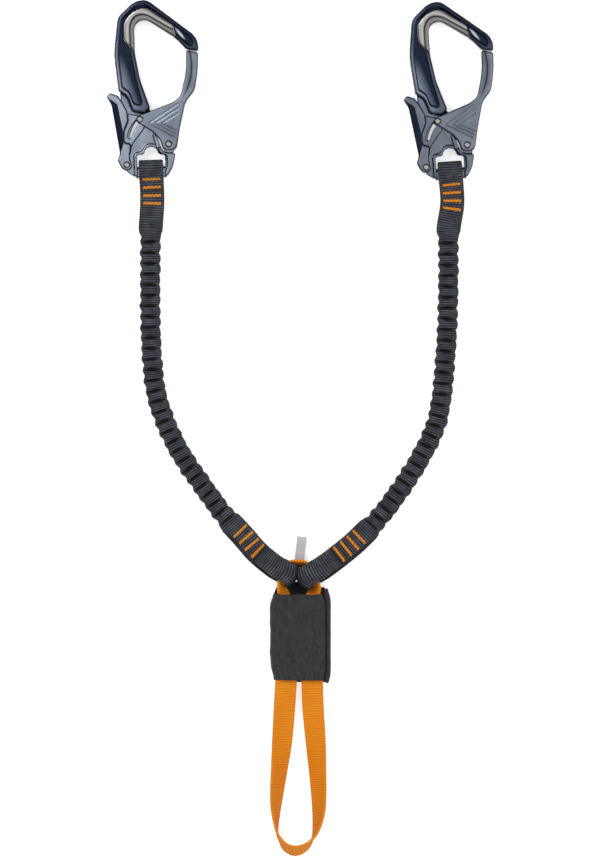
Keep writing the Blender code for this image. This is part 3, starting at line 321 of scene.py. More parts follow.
def band(name, read, profile, finish):
    """Carry a flat section along (distance, height, offset, width, painted shade, bow) places
    beside an arm's plan. A point of the section at angle q lies offset plus width / 2 times its
    cosine s across, and half the wall times the square root of 1 - s to the power 16 out along the
    line's own normal, with ribs on it. The bow carries the middle of the band further along the arm
    than its edges, by bow times 1 - s squared. The painted shade darkens the band's colour."""
    lengths, line = curve_through(profile, 0.0005)
    ahead = headings(line[:, :2])
    q = (np.arange(BAND_SIDES) + 0.5) * 2 * np.pi / BAND_SIDES
    share = np.cos(q)
    across = line[:, 2:3] + share * line[:, 3:4] / 2
    rise = WALL / 2 + ribs_at(lengths / RIB, 0.00016)
    out = np.sign(np.sin(q)) * np.sqrt(1 - np.abs(share) ** 16) * rise
    distance = line[:, :1] - out * ahead[:, 1:] + line[:, 5:] * (1 - share ** 2)
    height = line[:, 1:2] + out * ahead[:, :1]
    place, sideways = read(distance)
    place = place + sideways * across[..., None]
    return shell(name, np.dstack([place, height]), finish, along=lengths, hollow=line[:, 4:5])


def gathered_tube(name, read, start, end, finish):
    """Carry a pinched section along the arm between its sewn ends.
    The bulge at phase p is |sin(pi p)| to the power 0.45, so that crests are broad and valleys are
    narrow. One edge stands out on the crests and the other in the valleys, because a gathered band
    snakes. Four to five ribs lie on a bulge, and a lens-shaped crease crosses the middle of a
    valley; the crease is also painted dark as shade."""
    first, last = start + PLAIN_UPPER, end - PLAIN_LOWER
    distance = np.concatenate([
        np.linspace(start - 0.0004, first, 40)[:-1], np.linspace(first, last, GATHERS * 40),
        np.linspace(last, end + 0.0004, 16)[1:]])
    phase = (distance - first) / (last - first) * GATHERS
    pitch = (last - first) / GATHERS
    inward = np.minimum(distance - start - 0.0008, end - 0.0012 - distance)
    gathered = np.clip(inward / 0.0072, 0, 1)
    gathered = gathered * gathered * (3 - 2 * gathered)
    inside = (phase > -0.4) & (phase < GATHERS + 0.4)
    bulge = np.where(inside, np.abs(np.sin(np.pi * phase)) ** 0.45, 1.0)
    q = np.linspace(0, 2 * np.pi, 64, endpoint=False)
    uneven = 0.00020 * np.sin(2.7 * phase + 1.3) + 0.00016 * np.sin(5.1 * phase)
    right = 0.00735 + 0.00120 * np.abs(np.sin(np.pi * phase)) ** 0.8 + uneven
    left = 0.00735 + 0.00135 * np.abs(np.cos(np.pi * phase)) ** 1.6 - uneven
    edge = np.where(np.cos(q)[None, :] > 0, right[:, None], left[:, None])
    half_width = PRESSED_HALF_WIDTH + (edge - PRESSED_HALF_WIDTH) * gathered[:, None]
    full = 0.0026 + 0.0018 * bulge
    half_height = PRESSED_HALF_HEIGHT + (full - PRESSED_HALF_HEIGHT) * gathered
    flat = (8.0 - 5.0 * gathered)[:, None]
    across = np.sign(np.cos(q)) * np.abs(np.cos(q)) ** (2 / flat)
    x = across * half_width
    z = np.sign(np.sin(q)) * np.abs(np.sin(q)) ** (2 / flat) * half_height[:, None]
    rib_step = np.where(gathered > 0.5, pitch / RIBS_PER_GATHER, RIB)
    rib_phase = np.cumsum(np.gradient(distance) / rib_step)
    ribs = ribs_at(rib_phase, 0.00020)
    lens = np.clip(1 - (np.abs(across + 0.06) / 0.80) ** 2.0, 0, 1)
    valley = np.round(phase)[:, None]
    ridge = phase[:, None] - valley + 0.03 * np.sin(2.3 * valley + 3 * across)
    crease = np.exp(-(ridge / (0.030 + 0.130 * lens)) ** 6) * lens ** 0.5
    crease = crease * (inside * gathered)[:, None] * (np.abs(np.sin(q)) > 0.05)
    grow = 1 + (ribs - 0.0021 * crease) / 0.0042
    place, sideways = read(distance[:, None] + 0 * x)
    place = place + sideways * (x * (1 + ribs / 0.008))[..., None]
    return shell(name, np.dstack([place, TUBE_HEIGHT + z * grow]), finish, along=rib_phase * RIB,
                 hollow=np.clip(1.25 * crease, 0, 1))


def wave_of(node, kind, value, rate):
    """Give the sine or cosine of a rate times a value."""
    run = calc(node, "MULTIPLY", value, rate)
    return calc(node, kind, (run, 0))


def noise(node, where, scale, detail):
    """Add noise on the piece's own coordinates."""
    return node("TexNoise", Vector=(where, "Object"), Scale=scale, Detail=detail)


def elastic_webbing():
    """Charcoal webbing: ribs cross it, painted pale on their crowns as a highlight and darker
    between them as shade, fine threads run along it, and creases are painted black as shade.
    """
    made, tree, shader, node = new_material("elastic_webbing")
    split = node("SeparateXYZ", _0=(node("UVMap"), 0))
    thread = wave_of(node, "SINE", (split, 1), 2 * math.pi / 0.00085)
    wave = wave_of(node, "COSINE", (split, 0), math.pi / RIB)
    rib = calc(node, "ABSOLUTE", (wave, 0))
    both = calc(node, "MULTIPLY_ADD", (thread, 0), 0.06, (rib, 0))
    where = node("TexCoord")
    fuzz = noise(node, where, 1500.0, 3.0)
    worn = noise(node, where, 140.0, 3.0)
    height = calc(node, "MULTIPLY_ADD", (fuzz, 0), 0.45, (both, 0))
    tint = calc(node, "MULTIPLY_ADD", (worn, 0), 0.9, (height, 0))
    share = spread(node, (tint, 0), 0.55, 1.85)
    # Painted highlight and shade: the colour follows the ribs' height, on a random worn tone.
    colour = ramp(node, (share, 0), (0.0, (0.004, 0.004, 0.005)), (0.45, (0.014, 0.015, 0.018)),
                  (0.75, (0.042, 0.047, 0.059)), (1.0, (0.095, 0.106, 0.130)))
    relief = node("Bump", Strength=0.5, Distance=0.00022, Height=(height, 0))
    feed(tree, shader, Base_Color=(darkened_by_painted_shade(node, colour), 0), Normal=(relief, 0), Roughness=0.8,
         Specular_IOR_Level=0.25, Sheen_Weight=0.03, Sheen_Roughness=0.5)
    return made


def spread(node, value, start, stop, low=0.0, high=1.0):
    """Map a value's run from start to stop onto low to high, and hold it there beyond either."""
    return node("MapRange", Value=value, From_Min=start, From_Max=stop, To_Min=low, To_Max=high)


def mix(node, share, first, second, **settings):
    """Mix two colours by a share of the second."""
    return node("MixRGB", settings, _0=share, _1=first, _2=second)


def darkened_by_painted_shade(node, colour):
    """Mix a colour towards black by the mesh's per-point shade attribute: painted shade in creases,
    folds and grooves.
    """
    shade_share = node("Attribute", {"attribute_name": "hollow"})
    return mix(node, (shade_share, "Fac"), (colour, 0), (0.004, 0.004, 0.004, 1.0))


def upper_path(seam):
    """List (distance, height, offset, width, painted shade, bow) places of the loop round the bar:
    from the seam along the upper layer, half a turn round the bar, and back along the under layer."""
    bend = BAR_BEND + WALL / 2
    path = [(seam, 0.0065), (TIP + 0.0180, 0.0067), (TIP + 0.0130, 0.0078),
            (TIP + 0.0075, 0.0104), (TIP + 0.0030, 0.0128), (TIP - 0.0020, BAR_HEIGHT + bend)]
    for angle in np.radians(np.arange(90, 271, 22.5)):
        path.append((TIP - BAR_SLACK + bend * math.cos(angle), BAR_HEIGHT + bend * math.sin(angle)))
    path += [(TIP - 0.0020, BAR_HEIGHT - bend), (TIP + 0.0030, 0.0027), (TIP + 0.0075, 0.0033),
             (TIP + 0.0130, 0.0042), (TIP + 0.0180, 0.0045), (seam, 0.0045)]
    path = [(*place, 0.0, BAND, 0.0, 0.0) for place in path]
    # The hem's row at the seam is painted dark as shade.
    hem = [(seam, 0.0065, 0.0, BAND, 0.8, 0.0), (seam - 0.0012, 0.0066, 0.0, BAND, 0.0, 0.0)]
    return hem + path[1:]


def lower_path(side, reach):
    """List the places of the loop round the orange strap in the same way. The upper layer is a
    little narrower and lies towards the inner side, and the fold is bowed and painted dark inside
    as shade."""
    tacked, fold = reach - FIRST_LOWER_TACK, reach + FOLD_REACH[side] - WALL / 2
    inner = 1 if side == "left" else -1
    top, under, wide = (0.0013 * inner, 0.0175), (0.0, BAND), (0.0009 * inner, 0.0182)
    return [
        (reach - SEWN_LOWER, 0.0060, *under, 0.0, 0.0), (reach - 0.0600, 0.0072, *top, 0.0, 0.0),
        (tacked, 0.0090, *top, 0.0, 0.0), (reach - 0.0322, 0.0098, *top, 0.9, 0.0),
        (reach - 0.0285, 0.0172, *top, 0.0, 0.0), (reach - 0.0215, 0.0224, *top, 0.0, 0.0006),
        (reach - 0.0120, 0.0228, *wide, 0.0, 0.0016), (fold - 0.0060, 0.0228, *wide, 0.0, 0.0026),
        (fold - 0.0012, 0.0212, *wide, 0.1, 0.0034), (fold + 0.0006, 0.0180, *under, 0.7, 0.0036),
        (fold + 0.0020, 0.0130, *under, 1.0, 0.0036), (fold + 0.0010, 0.0080, *under, 1.0, 0.0034),
        (fold - 0.0014, 0.0044, *under, 1.0, 0.0026), (fold - 0.0060, 0.0028, *under, 0.9, 0.0014),
        (reach - 0.0215, 0.0028, *under, 0.9, 0.0), (reach - 0.0275, 0.0052, *under, 0.7, 0.0),
        (reach - 0.0322, 0.0074, *under, 0.4, 0.0), (tacked, 0.0070, *under, 0.4, 0.0),
        (reach - 0.0600, 0.0048, *under, 0.4, 0.0), (reach - SEWN_LOWER, 0.0040, *under, 0.0, 0.0),
    ]


webbing = elastic_webbing()
ARM_READERS = {}
for side in ("left", "right"):
    read, reach = arm_line(side)
    ARM_READERS[side] = (read, reach)
    seam = TIP + SEWN_UPPER
    arm = joined(
        f"arm_{side}",
        gathered_tube("tube", read, seam, reach - SEWN_LOWER, webbing),
        band("upper_loop", read, upper_path(seam), webbing),
        band("lower_loop", read, lower_path(side, reach), webbing),
    )
    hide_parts(f"arm_webbing_{side}")
    steps = np.arange(reach, -0.0001, -0.006)
    rise = np.interp(steps, [0, TIP + 0.02, reach - FIRST_LOWER_TACK, reach - 0.0215, reach],
                     [BAR_HEIGHT, 0.0052, 0.0080, CROSSING_HEIGHT, CROSSING_HEIGHT])
    line = np.column_stack([read(steps)[0], rise]).tolist()
    held, free = ((*read(np.array(reach - back))[0], CROSSING_HEIGHT) for back in BLEND_RUN)
    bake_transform(arm)
    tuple(held)
    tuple(free)

# Elastic cores. A flat bundle of latex strands runs inside each arm, with the shape of the tube's
# inside, and shows only where a tube is cut open.
CORE_WIDTH, CORE_HEIGHT = 0.0084, 0.0018


def rubber_core():
    """Cream latex in fine lengthwise strands."""
    made, tree, shader, node = new_material("elastic_core")
    split = node("SeparateXYZ", _0=(node("UVMap"), 0))
    strand = wave_of(node, "SINE", (split, 1), 2 * math.pi / 0.0008)
    colour = ramp(node, (strand, 0), (0.0, (0.48, 0.45, 0.36)), (0.8, (0.66, 0.63, 0.53)))
    feed(tree, shader, Base_Color=(colour, 0), Roughness=0.7)
    return made


rubber = rubber_core()
for side in ("left", "right"):
    read, reach = ARM_READERS[side]
    distance = np.linspace(TIP + SEWN_UPPER + 0.0010, reach - SEWN_LOWER - 0.0030, 400)
    q = np.linspace(0, 2 * np.pi, 24, endpoint=False)
    across = rounded_power(np.cos(q), 5.0) * CORE_WIDTH / 2
    out = rounded_power(np.sin(q), 4.0) * CORE_HEIGHT / 2
    place, sideways = read(distance[:, None] + 0 * across[None, :])
    place = place + sideways * across[None, :, None]
    height = TUBE_HEIGHT + out[None, :] + 0 * distance[:, None]
    core = shell(f"latex_core_{side}", np.dstack([place, height]), rubber)
    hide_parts(f"elastic_core_{side}")
    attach(core, f"arm_{side}")

# Bar tacks. Four dense rows of orange zigzag thread hold each end of an arm to itself. A row goes
# right through both layers, so that its under side looks the same.
TACK_WIDTH = 0.0148
TACK_LENGTH = 0.0025
TACK_STRANDS = 17
TACK_COUNT = 4
FIRST_UPPER_TACK = {"left": 0.0060, "right": 0.0092}
UPPER_PITCH, LOWER_PITCH = 0.0066, 0.0073
LOWER_ASIDE = {"left": 0.0012, "right": -0.0012}


def bar_tack(name, read, distance, offset, surfaces, finish):
    """Make one tack as a flat ring section carried across the webbing. Strand n is a hump
    |sin(pi n x)| of the thread's thickness, and its ends step to and fro by a triangle wave. The
    surfaces give distances and the webbing's lower and upper heights there."""
    x = np.linspace(0, 1, TACK_STRANDS * 8 + 1)[:, None]
    q = np.linspace(0, 2 * np.pi, 20, endpoint=False)[None, :]
    hump = np.abs(np.sin(np.pi * TACK_STRANDS * x)) ** 0.7
    sway = np.abs((x * TACK_STRANDS / 2) % 1 - 0.5) * 2 - 0.5
    wander = 0.00022 * np.sin(31 * x + 900 * distance) + 0.00016 * np.sin(67 * x + 300 * distance)
    half_length = (TACK_LENGTH / 2) * (0.82 + 0.18 * hump)
    at = distance + (half_length * rounded_power(np.cos(q), 3.0) + 0.0005 * sway + wander)
    low, high = (np.interp(at, surfaces[0], heights) for heights in surfaces[1:])
    rise = (high - low) / 2 + 0.00012 + 0.00034 * hump
    height = (high + low) / 2 + rise * rounded_power(np.sin(q), 5.0)
    place, sideways = read(at)
    place = place + sideways * (offset + (x - 0.5) * TACK_WIDTH)[..., None]
    return shell(name, np.dstack([place, height]), finish, along=x[:, 0] * TACK_WIDTH)


def tack_thread():
    """Orange polyester thread with a soft shine; the gaps between strands are painted darker as
    shade.
    """
    made, tree, shader, node = new_material("orange_thread")
    split = node("SeparateXYZ", _0=(node("UVMap"), 0))
    strand = wave_of(node, "SINE", (split, 0), math.pi * TACK_STRANDS / TACK_WIDTH)
    hump = calc(node, "ABSOLUTE", (strand, 0))
    where = node("TexCoord")
    fuzz = noise(node, where, 1500.0, 2.0)
    tone = calc(node, "MULTIPLY_ADD", (fuzz, 0), 0.5, (hump, 0))
    colour = ramp(node, (tone, 0), (0.25, (0.20, 0.052, 0.002)), (0.65, (0.74, 0.215, 0.004)),
                  (1.0, (0.88, 0.310, 0.010)))
    relief = node("Bump", Strength=0.5, Distance=0.0002, Height=(tone, 0))
    feed(tree, shader, Base_Color=(colour, 0), Normal=(relief, 0), Roughness=0.6,
         Specular_IOR_Level=0.2)
    return made


thread = tack_thread()
for side in ("left", "right"):
    read, reach = ARM_READERS[side]
    upper_surfaces = (TIP + np.array((0.0030, 0.0075, 0.0130, 0.0180, 0.0383)),
                      np.array((0.0017, 0.0023, 0.0032, 0.0035, 0.0035)),
                      np.array((0.0139, 0.0115, 0.0089, 0.0077, 0.0075)))
    lower_surfaces = (reach - np.array((SEWN_LOWER, 0.0600, FIRST_LOWER_TACK, 0.0322)),
                      np.array((0.0030, 0.0038, 0.0060, 0.0062)),
                      np.array((0.0070, 0.0082, 0.0100, 0.0108)))
    for number in range(TACK_COUNT):
        upper = TIP + FIRST_UPPER_TACK[side] + UPPER_PITCH * number
        lower = reach - FIRST_LOWER_TACK - LOWER_PITCH * number
        for end, distance, offset, surfaces in (
                ("upper", upper, 0.0, upper_surfaces),
                ("lower", lower, LOWER_ASIDE[side], lower_surfaces)):
            label = f"{side}_{end}_{number + 1}"
            tack = bar_tack(f"tack_{label}", read, distance, offset, surfaces, thread)
            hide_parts(f"bar_tack_{label}")
            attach(tack, f"arm_{side}")

# Orange straps. The top loop carries both arms and the tie-in loop goes through the harness. Both
# are one flat polyester webbing with close ribs across it, and both ends go into the pouch.
STRAP_THICKNESS = 0.0022
STRAP_WIDTH = 0.0178
STRAP_RIB = 0.0021
TOP_LOOP = (
    (-0.0115, -0.1800, 0.0160, 0, 0.0178), (-0.0115, -0.1660, 0.0160, 0, 0.0178),
    (-0.0115, -0.1560, 0.0151, 8, 0.0178), (-0.0114, -0.1450, 0.0132, 26, 0.0160),
    (-0.0114, -0.1370, 0.0128, 44, 0.0138), (-0.0128, -0.1310, 0.0128, 58, 0.0122),
    (-0.0126, -0.1265, 0.0128, 60, 0.0122), (-0.0108, -0.1185, 0.0128, 60, 0.0125),
    (-0.0084, -0.1137, 0.0128, 62, 0.0132), (-0.0046, -0.1115, 0.0128, 66, 0.0136),
    (0.0004, -0.1108, 0.0128, 68, 0.0138), (0.0052, -0.1118, 0.0128, 66, 0.0136),
    (0.0090, -0.1145, 0.0128, 62, 0.0132), (0.0122, -0.1200, 0.0128, 60, 0.0125),
    (0.0146, -0.1270, 0.0128, 58, 0.0122), (0.0150, -0.1320, 0.0127, 50, 0.0128),
    (0.0130, -0.1385, 0.0124, 37, 0.0148), (0.0132, -0.1460, 0.0133, 24, 0.0166),
    (0.0139, -0.1560, 0.0151, 8, 0.0176), (0.0141, -0.1660, 0.0160, 0, 0.0178),
    (0.0141, -0.1800, 0.0160, 0, 0.0178),
)
TIE_IN_LOOP = [(*place, STRAP_WIDTH) for place in (
    (-0.0093, -0.1840, 0.0160, 0), (-0.0093, -0.1990, 0.0160, 0), (-0.0093, -0.2081, 0.0158, 0),
    (-0.0106, -0.2295, 0.0130, -10), (-0.0124, -0.2567, 0.0100, -24),
    (-0.0146, -0.2790, 0.0090, -42), (-0.0170, -0.3021, 0.0091, -56),
    (-0.0177, -0.3170, 0.0093, -70), (-0.0167, -0.3326, 0.0094, -90),
    (-0.0132, -0.3402, 0.0094, -100), (-0.0086, -0.3458, 0.0092, -112),
    (-0.0016, -0.3482, 0.0090, -118), (0.0062, -0.3455, 0.0092, -110),
    (0.0119, -0.3394, 0.0094, -94), (0.0154, -0.3310, 0.0094, -76),
    (0.0176, -0.3170, 0.0092, -58), (0.0177, -0.3021, 0.0091, -49),
    (0.0165, -0.2790, 0.0090, -38), (0.0150, -0.2567, 0.0100, -24),
    (0.0130, -0.2295, 0.0130, -10), (0.0123, -0.2081, 0.0158, 0), (0.0123, -0.1990, 0.0160, 0),
    (0.0123, -0.1840, 0.0160, 0),
)]


def strap(name, places, thickness, finish, rib=STRAP_RIB, relief=0.00010):
    """Sweep a flat section along (x, y, z, lean in degrees, width) places. A section's point is
    width / 2 times a cosine, squared up, along the leaning side and thickness / 2 times a sine,
    squared up, across it; ribs stand on both faces and fade at the selvedges."""
    lengths, route = curve_through(places, 0.0003)
    route[:, :2] += SHIFT
    heading = headings(route[:, :2])
    lean = np.radians(route[:, 3:4])
    flat_side = np.column_stack([-heading[:, 1], heading[:, 0], np.zeros(len(route))])
    up = np.array((0.0, 0.0, 1.0))
    wide = flat_side * np.cos(lean) + up * np.sin(lean)
    thick = up * np.cos(lean) - flat_side * np.sin(lean)
    q = np.linspace(0, 2 * np.pi, 56, endpoint=False)
    across = rounded_power(np.cos(q), 14.0)
    out = rounded_power(np.sin(q), 7.0)
    fade = np.clip((1 - np.abs(across)) / 0.07, 0, 1)[None, :]
    bulk = thickness / 2 * (1 - 0.10 * (1 - fade)) + ribs_at(lengths / rib, relief) * fade
    points = (route[:, None, :3]
              + wide[:, None, :] * (across[None, :] * route[:, 4:5] / 2)[..., None]
              + thick[:, None, :] * (out[None, :] * bulk)[..., None])
    return shell(name, points, finish, along=lengths)


def orange_webbing():
    """Orange polyester webbing: fine threads along it cross the ribs, and the hollows between ribs
    are painted darker as shade.
    """
    made, tree, shader, node = new_material("orange_webbing")
    split = node("SeparateXYZ", _0=(node("UVMap"), 0))
    rib = wave_of(node, "COSINE", (split, 0), math.pi / STRAP_RIB)
    crown = calc(node, "ABSOLUTE", (rib, 0))
    thread = wave_of(node, "SINE", (split, 1), 2 * math.pi / 0.00075)
    where = node("TexCoord")
    fuzz = noise(node, where, 1800.0, 3.0)
    worn = noise(node, where, 45.0, 3.0)
    body = calc(node, "MULTIPLY_ADD", (thread, 0), 0.16, (crown, 0))
    height = calc(node, "MULTIPLY_ADD", (fuzz, 0), 0.5, (body, 0))
    tint = calc(node, "MULTIPLY_ADD", (worn, 0), 0.5, (height, 0))
    share = spread(node, (tint, 0), 0.2, 1.7)
    colour = ramp(node, (share, 0), (0.0, (0.42, 0.106, 0.003)), (0.45, (0.69, 0.202, 0.006)),
                  (1.0, (0.81, 0.278, 0.012)))
    relief = node("Bump", Strength=0.5, Distance=0.0002, Height=(height, 0))
    feed(tree, shader, Base_Color=(colour, 0), Normal=(relief, 0), Roughness=0.75,
         Specular_IOR_Level=0.15, Sheen_Weight=0.02, Sheen_Roughness=0.4)
    return made


orange = orange_webbing()
for name, solid, places in (("top_strap", "top_loop", TOP_LOOP),
                            ("tie_in_strap", "tie_in_loop", TIE_IN_LOOP)):
    made = strap(name, places, STRAP_THICKNESS, orange)
    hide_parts(solid)
    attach(made, "absorber")
    line = curve_through(places, 0.004)[1][:, :3]
    line[:, :2] += SHIFT
    reach = float(lengths_along(line)[-1])

# Energy absorber's pouch. One piece of charcoal pack cloth is wrapped once round the folded tear
# webbing. Its front panel ends in a free edge that lies over the flap on the right, where a
# hook-and-loop strip holds it. Its back ends in a short lip under the arms.
CLOTH = 0.0013
POUCH_MIDDLE = 0.00265
WRAP = (
    (0.0227, 0.0207), (0.0219, 0.0211), (0.0190, 0.0214), (0.0100, 0.0215), (0.0000, 0.0215),
    (-0.0110, 0.0213), (-0.0170, 0.0206), (-0.0203, 0.0186), (-0.0217, 0.0150), (-0.0219, 0.0110),
    (-0.0217, 0.0062), (-0.0203, 0.0026), (-0.0170, 0.0009), (-0.0080, 0.0007), (0.0027, 0.0007),
    (0.0130, 0.0007), (0.0220, 0.0009), (0.0253, 0.0026), (0.0266, 0.0060), (0.0270, 0.0110),
    (0.0269, 0.0155), (0.0263, 0.0187), (0.0254, 0.0194), (0.0245, 0.0186), (0.0237, 0.0168),
    (0.0218, 0.0162), (0.0178, 0.0172), (0.0128, 0.0180),
)
MOUTH, FOOT, LIP = -0.1362, -0.2080, 0.0055
HEM = 0.0035
POUCH_HALF_LENGTH = 0.036


def cloth_section(half_columns, thickness):
    """Give a sheet's section as (share across, out) columns, up one face and down the other. Out is
    thickness / 2 times the square root of 1 less the share to the power 16."""
    share = np.sin(np.linspace(-np.pi / 2, np.pi / 2, half_columns))
    out = thickness / 2 * np.sqrt(np.clip(1 - np.abs(share) ** 16, 0, 1))
    return np.concatenate([share, share[::-1]]), np.concatenate([out, -out])


def bell(offset, width, power=2):
    """Give 1 at the middle and 0 far from it: e to the power of -(|offset| / width) to a power."""
    return np.exp(-(np.abs(offset) / width) ** power)


def pouch_cover(name, finish):
    """Wrap the cloth along its (x, z) line and give it width along y. It narrows by bells at its
    mouth and foot. Creases stand out along the line's normal: sums of sines, strongest at the ends,
    a shallow groove where each hem is sewn, and a front that settles at both ends. The back and the
    flap's shoulder reach further than the front panel, and the tucked flap less far."""
    lengths, line = curve_through(WRAP, 0.0006)
    ahead = headings(line)
    normal = np.column_stack([ahead[:, 1], -ahead[:, 0]])
    share, out = (column[None, :] for column in cloth_section(84, CLOTH))
    x, z = line[:, :1], line[:, 1:]
    run = lengths[:, None] / lengths[-1]
    behind = np.clip((0.0054 - z) / 0.0030, 0, 1)
    behind = behind * np.clip((0.0250 - np.abs(x - POUCH_MIDDLE)) / 0.0035, 0, 1)
    flap = np.clip((run - 0.66) / 0.05, 0, 1) * np.clip((z - 0.0040) / 0.0060, 0, 1)
    shoulder = flap * np.clip((x - 0.0232) / 0.0010, 0, 1)
    lip = LIP * np.maximum(behind, 0.85 * shoulder) + 0.0040 * behind * bell(x + 0.0004, 0.0090, 4)
    start = MOUTH + lip + 0.0004 * np.sin(x * 210 + 1.0) * (1 - flap)
    start = start - 0.0040 * flap * (1 - shoulder)
    start = start - 0.0006 * np.cos((x - POUCH_MIDDLE) * 110) * (z > 0.0190) * (1 - flap)
    stop = FOOT + 0.0007 - 0.0020 * np.maximum(behind, shoulder) + 0.0005 * bell(x + 0.0160, 0.0050)
    stop = stop + 0.0040 * flap * (1 - shoulder)
    y = (start + stop) / 2 + (start - stop) / 2 * share
    to_mouth, to_foot = start - y, y - stop
    left = x < POUCH_MIDDLE
    narrow = 1 - (0.085 + 0.005 * left) * bell(to_mouth, 0.0055)
    narrow = narrow - np.where(left, 0.128, 0.045) * bell(to_foot, np.where(left, 0.0085, 0.0050))
    narrow = narrow - 0.006 * bell(y + 0.178, 0.012) * left
    pucker = 0.00032 * np.sin(x * 950 + y * 190) + 0.00026 * np.sin(x * 520 - y * 330 + 2.0)
    near_ends = np.exp(-to_mouth / 0.009) + np.exp(-to_foot / 0.010)
    ripple = 0.00016 * np.sin(y * 260 + x * 70) + 0.00012 * np.sin(y * 530 - x * 160 + 1.4)
    hems = -0.00030 * (bell(to_mouth - HEM, 0.0005) + bell(to_foot - HEM, 0.0005))
    front = np.clip((z - 0.0120) / 0.0060, 0, 1) * (1 - flap)
    settle = -0.0011 * front * (bell(to_mouth, 0.0040) + bell(to_foot, 0.0050))
    loose = np.clip((z - 0.0012) / 0.0030, 0, 1) * (1 - 0.7 * flap)
    rise = out + (pucker * near_ends + ripple + hems) * loose + settle
    wide = POUCH_MIDDLE + (x + normal[:, :1] * rise - POUCH_MIDDLE) * narrow
    high = np.maximum(z + normal[:, 1:] * rise, 0.0001 + (out < 0) * 0.0010)
    # Painted shade: the tucked flap's under side and the back's inside near the mouth are darkened.
    tucked = np.clip((run - 0.865) / 0.010, 0, 1) * (out < 0) + 0 * share
    inside = (out > 0) * behind * np.clip(1 - to_mouth / 0.012, 0, 1) * 0.6
    around = np.append((share[0] + 1) * POUCH_HALF_LENGTH, 0.0)
    return shell(name, np.dstack([wide + SHIFT[0], y + SHIFT[1], high]), finish, along=lengths,
                 around=around, hollow=np.maximum(tucked, inside))


def pack_cloth():
    """Charcoal polyester pack cloth: a fine plain weave, a mottled yarn and a faint sheen."""
    made, tree, shader, node = new_material("charcoal_fabric")
    split = node("SeparateXYZ", _0=(node("UVMap"), 0))
    warp, weft = (wave_of(node, "SINE", (split, axis), 2 * math.pi / 0.00095) for axis in (0, 1))
    weave = calc(node, "MULTIPLY", (warp, 0), (weft, 0))
    where = node("TexCoord")
    fuzz = noise(node, where, 1400.0, 4.0)
    stretched = node("Mapping", Vector=(where, "Object"), Scale=(520.0, 170.0, 300.0))
    slub = node("TexNoise", Vector=(stretched, 0), Scale=1.0, Detail=3.0)
    yarn = calc(node, "MULTIPLY_ADD", (weave, 0), 0.35, (fuzz, 0))
    tint = calc(node, "MULTIPLY_ADD", (slub, 0), 0.9, (yarn, 0))
    share = spread(node, (tint, 0), 0.45, 1.55)
    colour = ramp(node, (share, 0), (0.0, (0.010, 0.010, 0.011)), (0.5, (0.0265, 0.0265, 0.030)),
                  (1.0, (0.064, 0.064, 0.074)))
    relief = node("Bump", Strength=0.45, Distance=0.00018, Height=(yarn, 0))
    # The colour is darkened by each point's painted shade.
    feed(tree, shader, Base_Color=(darkened_by_painted_shade(node, colour), 0), Normal=(relief, 0), Roughness=0.85,
         Specular_IOR_Level=0.3, Sheen_Weight=0.06, Sheen_Roughness=0.5)
    return made


pouch_cloth = pack_cloth()
cover = pouch_cover("pouch_cover", pouch_cloth)
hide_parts("absorber_cover")
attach(cover, "absorber")

# Tear webbing. A long band is folded to and fro inside the pouch and sewn through, and rips
# stitch by stitch in a fall. Only its folds can be seen, through the pouch's two ends.
PACK_LEFT, PACK_RIGHT = -0.0184, 0.0226
PACK_NEAR, PACK_FAR = -0.1980, -0.1670
PACK_LOWEST, PACK_LAYER, PACK_COUNT = 0.0027, 0.0027, 5
PACK_WEBBING = 0.0022
PACK_BULGE = 0.0013

turns = []
for number in range(PACK_COUNT):
    level = PACK_LOWEST + PACK_LAYER * number
    forwards = number % 2 == 0
    begin, end = (PACK_NEAR, PACK_FAR) if forwards else (PACK_FAR, PACK_NEAR)
    turns += [(begin, level), ((begin + end) / 2, level + 0.0001), (end, level)]
    if number < PACK_COUNT - 1:
        beyond = PACK_BULGE if forwards else -PACK_BULGE
        turns.append((end + beyond, level + PACK_LAYER / 2))
lengths, line = curve_through(turns, 0.0005)
ahead = headings(line)
share, out = (column[None, :] for column in cloth_section(30, PACK_WEBBING))
y = line[:, :1] - ahead[:, 1:] * out
z = line[:, 1:] + ahead[:, :1] * out
x = (PACK_LEFT + PACK_RIGHT) / 2 + (PACK_RIGHT - PACK_LEFT) / 2 * share + 0 * y
pack = shell("tear_webbing", np.dstack([x + SHIFT[0], y + SHIFT[1], z]), webbing, along=lengths)
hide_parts("tear_pack")
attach(pack, "absorber")

# Hook-and-loop strip. It is sewn under the front panel's free edge and grips the flap, and only its
# edge can be seen, inside the groove.
STRIP_LEFT, STRIP_RIGHT = 0.0139, 0.0216
STRIP_NEAR, STRIP_FAR = -0.1900, -0.1510
STRIP_HEIGHT, STRIP_THICKNESS = 0.0194, 0.0010

share, out = (column[None, :] for column in cloth_section(40, STRIP_THICKNESS))
run = np.linspace(STRIP_NEAR, STRIP_FAR, 160)[:, None]
nap = 0.00012 * np.sin(run * 5200) * np.cos(share * 34)
x = (STRIP_LEFT + STRIP_RIGHT) / 2 + (STRIP_RIGHT - STRIP_LEFT) / 2 * share + 0 * run
z = STRIP_HEIGHT + out + nap * (out < 0)
points = np.dstack([x + SHIFT[0], run + SHIFT[1] + 0 * x, z])
# The strip's edge inside the groove is painted dark as shade.
strip = shell("hook_and_loop", points, pouch_cloth, hollow=0.8)
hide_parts("hook_and_loop_strip")
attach(strip, "absorber")

# Label tab. A narrow ribbon of pale woven satin is sewn to the top loop and comes out between the
# arms. It is left plain.
TAB_WIDTH, TAB_THICKNESS, TAB_RIB = 0.0079, 0.0006, 0.0006
TAB = [(*place, 0, TAB_WIDTH) for place in (
    (0.0018, -0.1100, 0.0052), (0.0022, -0.1040, 0.0045), (0.0029, -0.0980, 0.0026),
    (0.0039, -0.0891, 0.0012),
)]


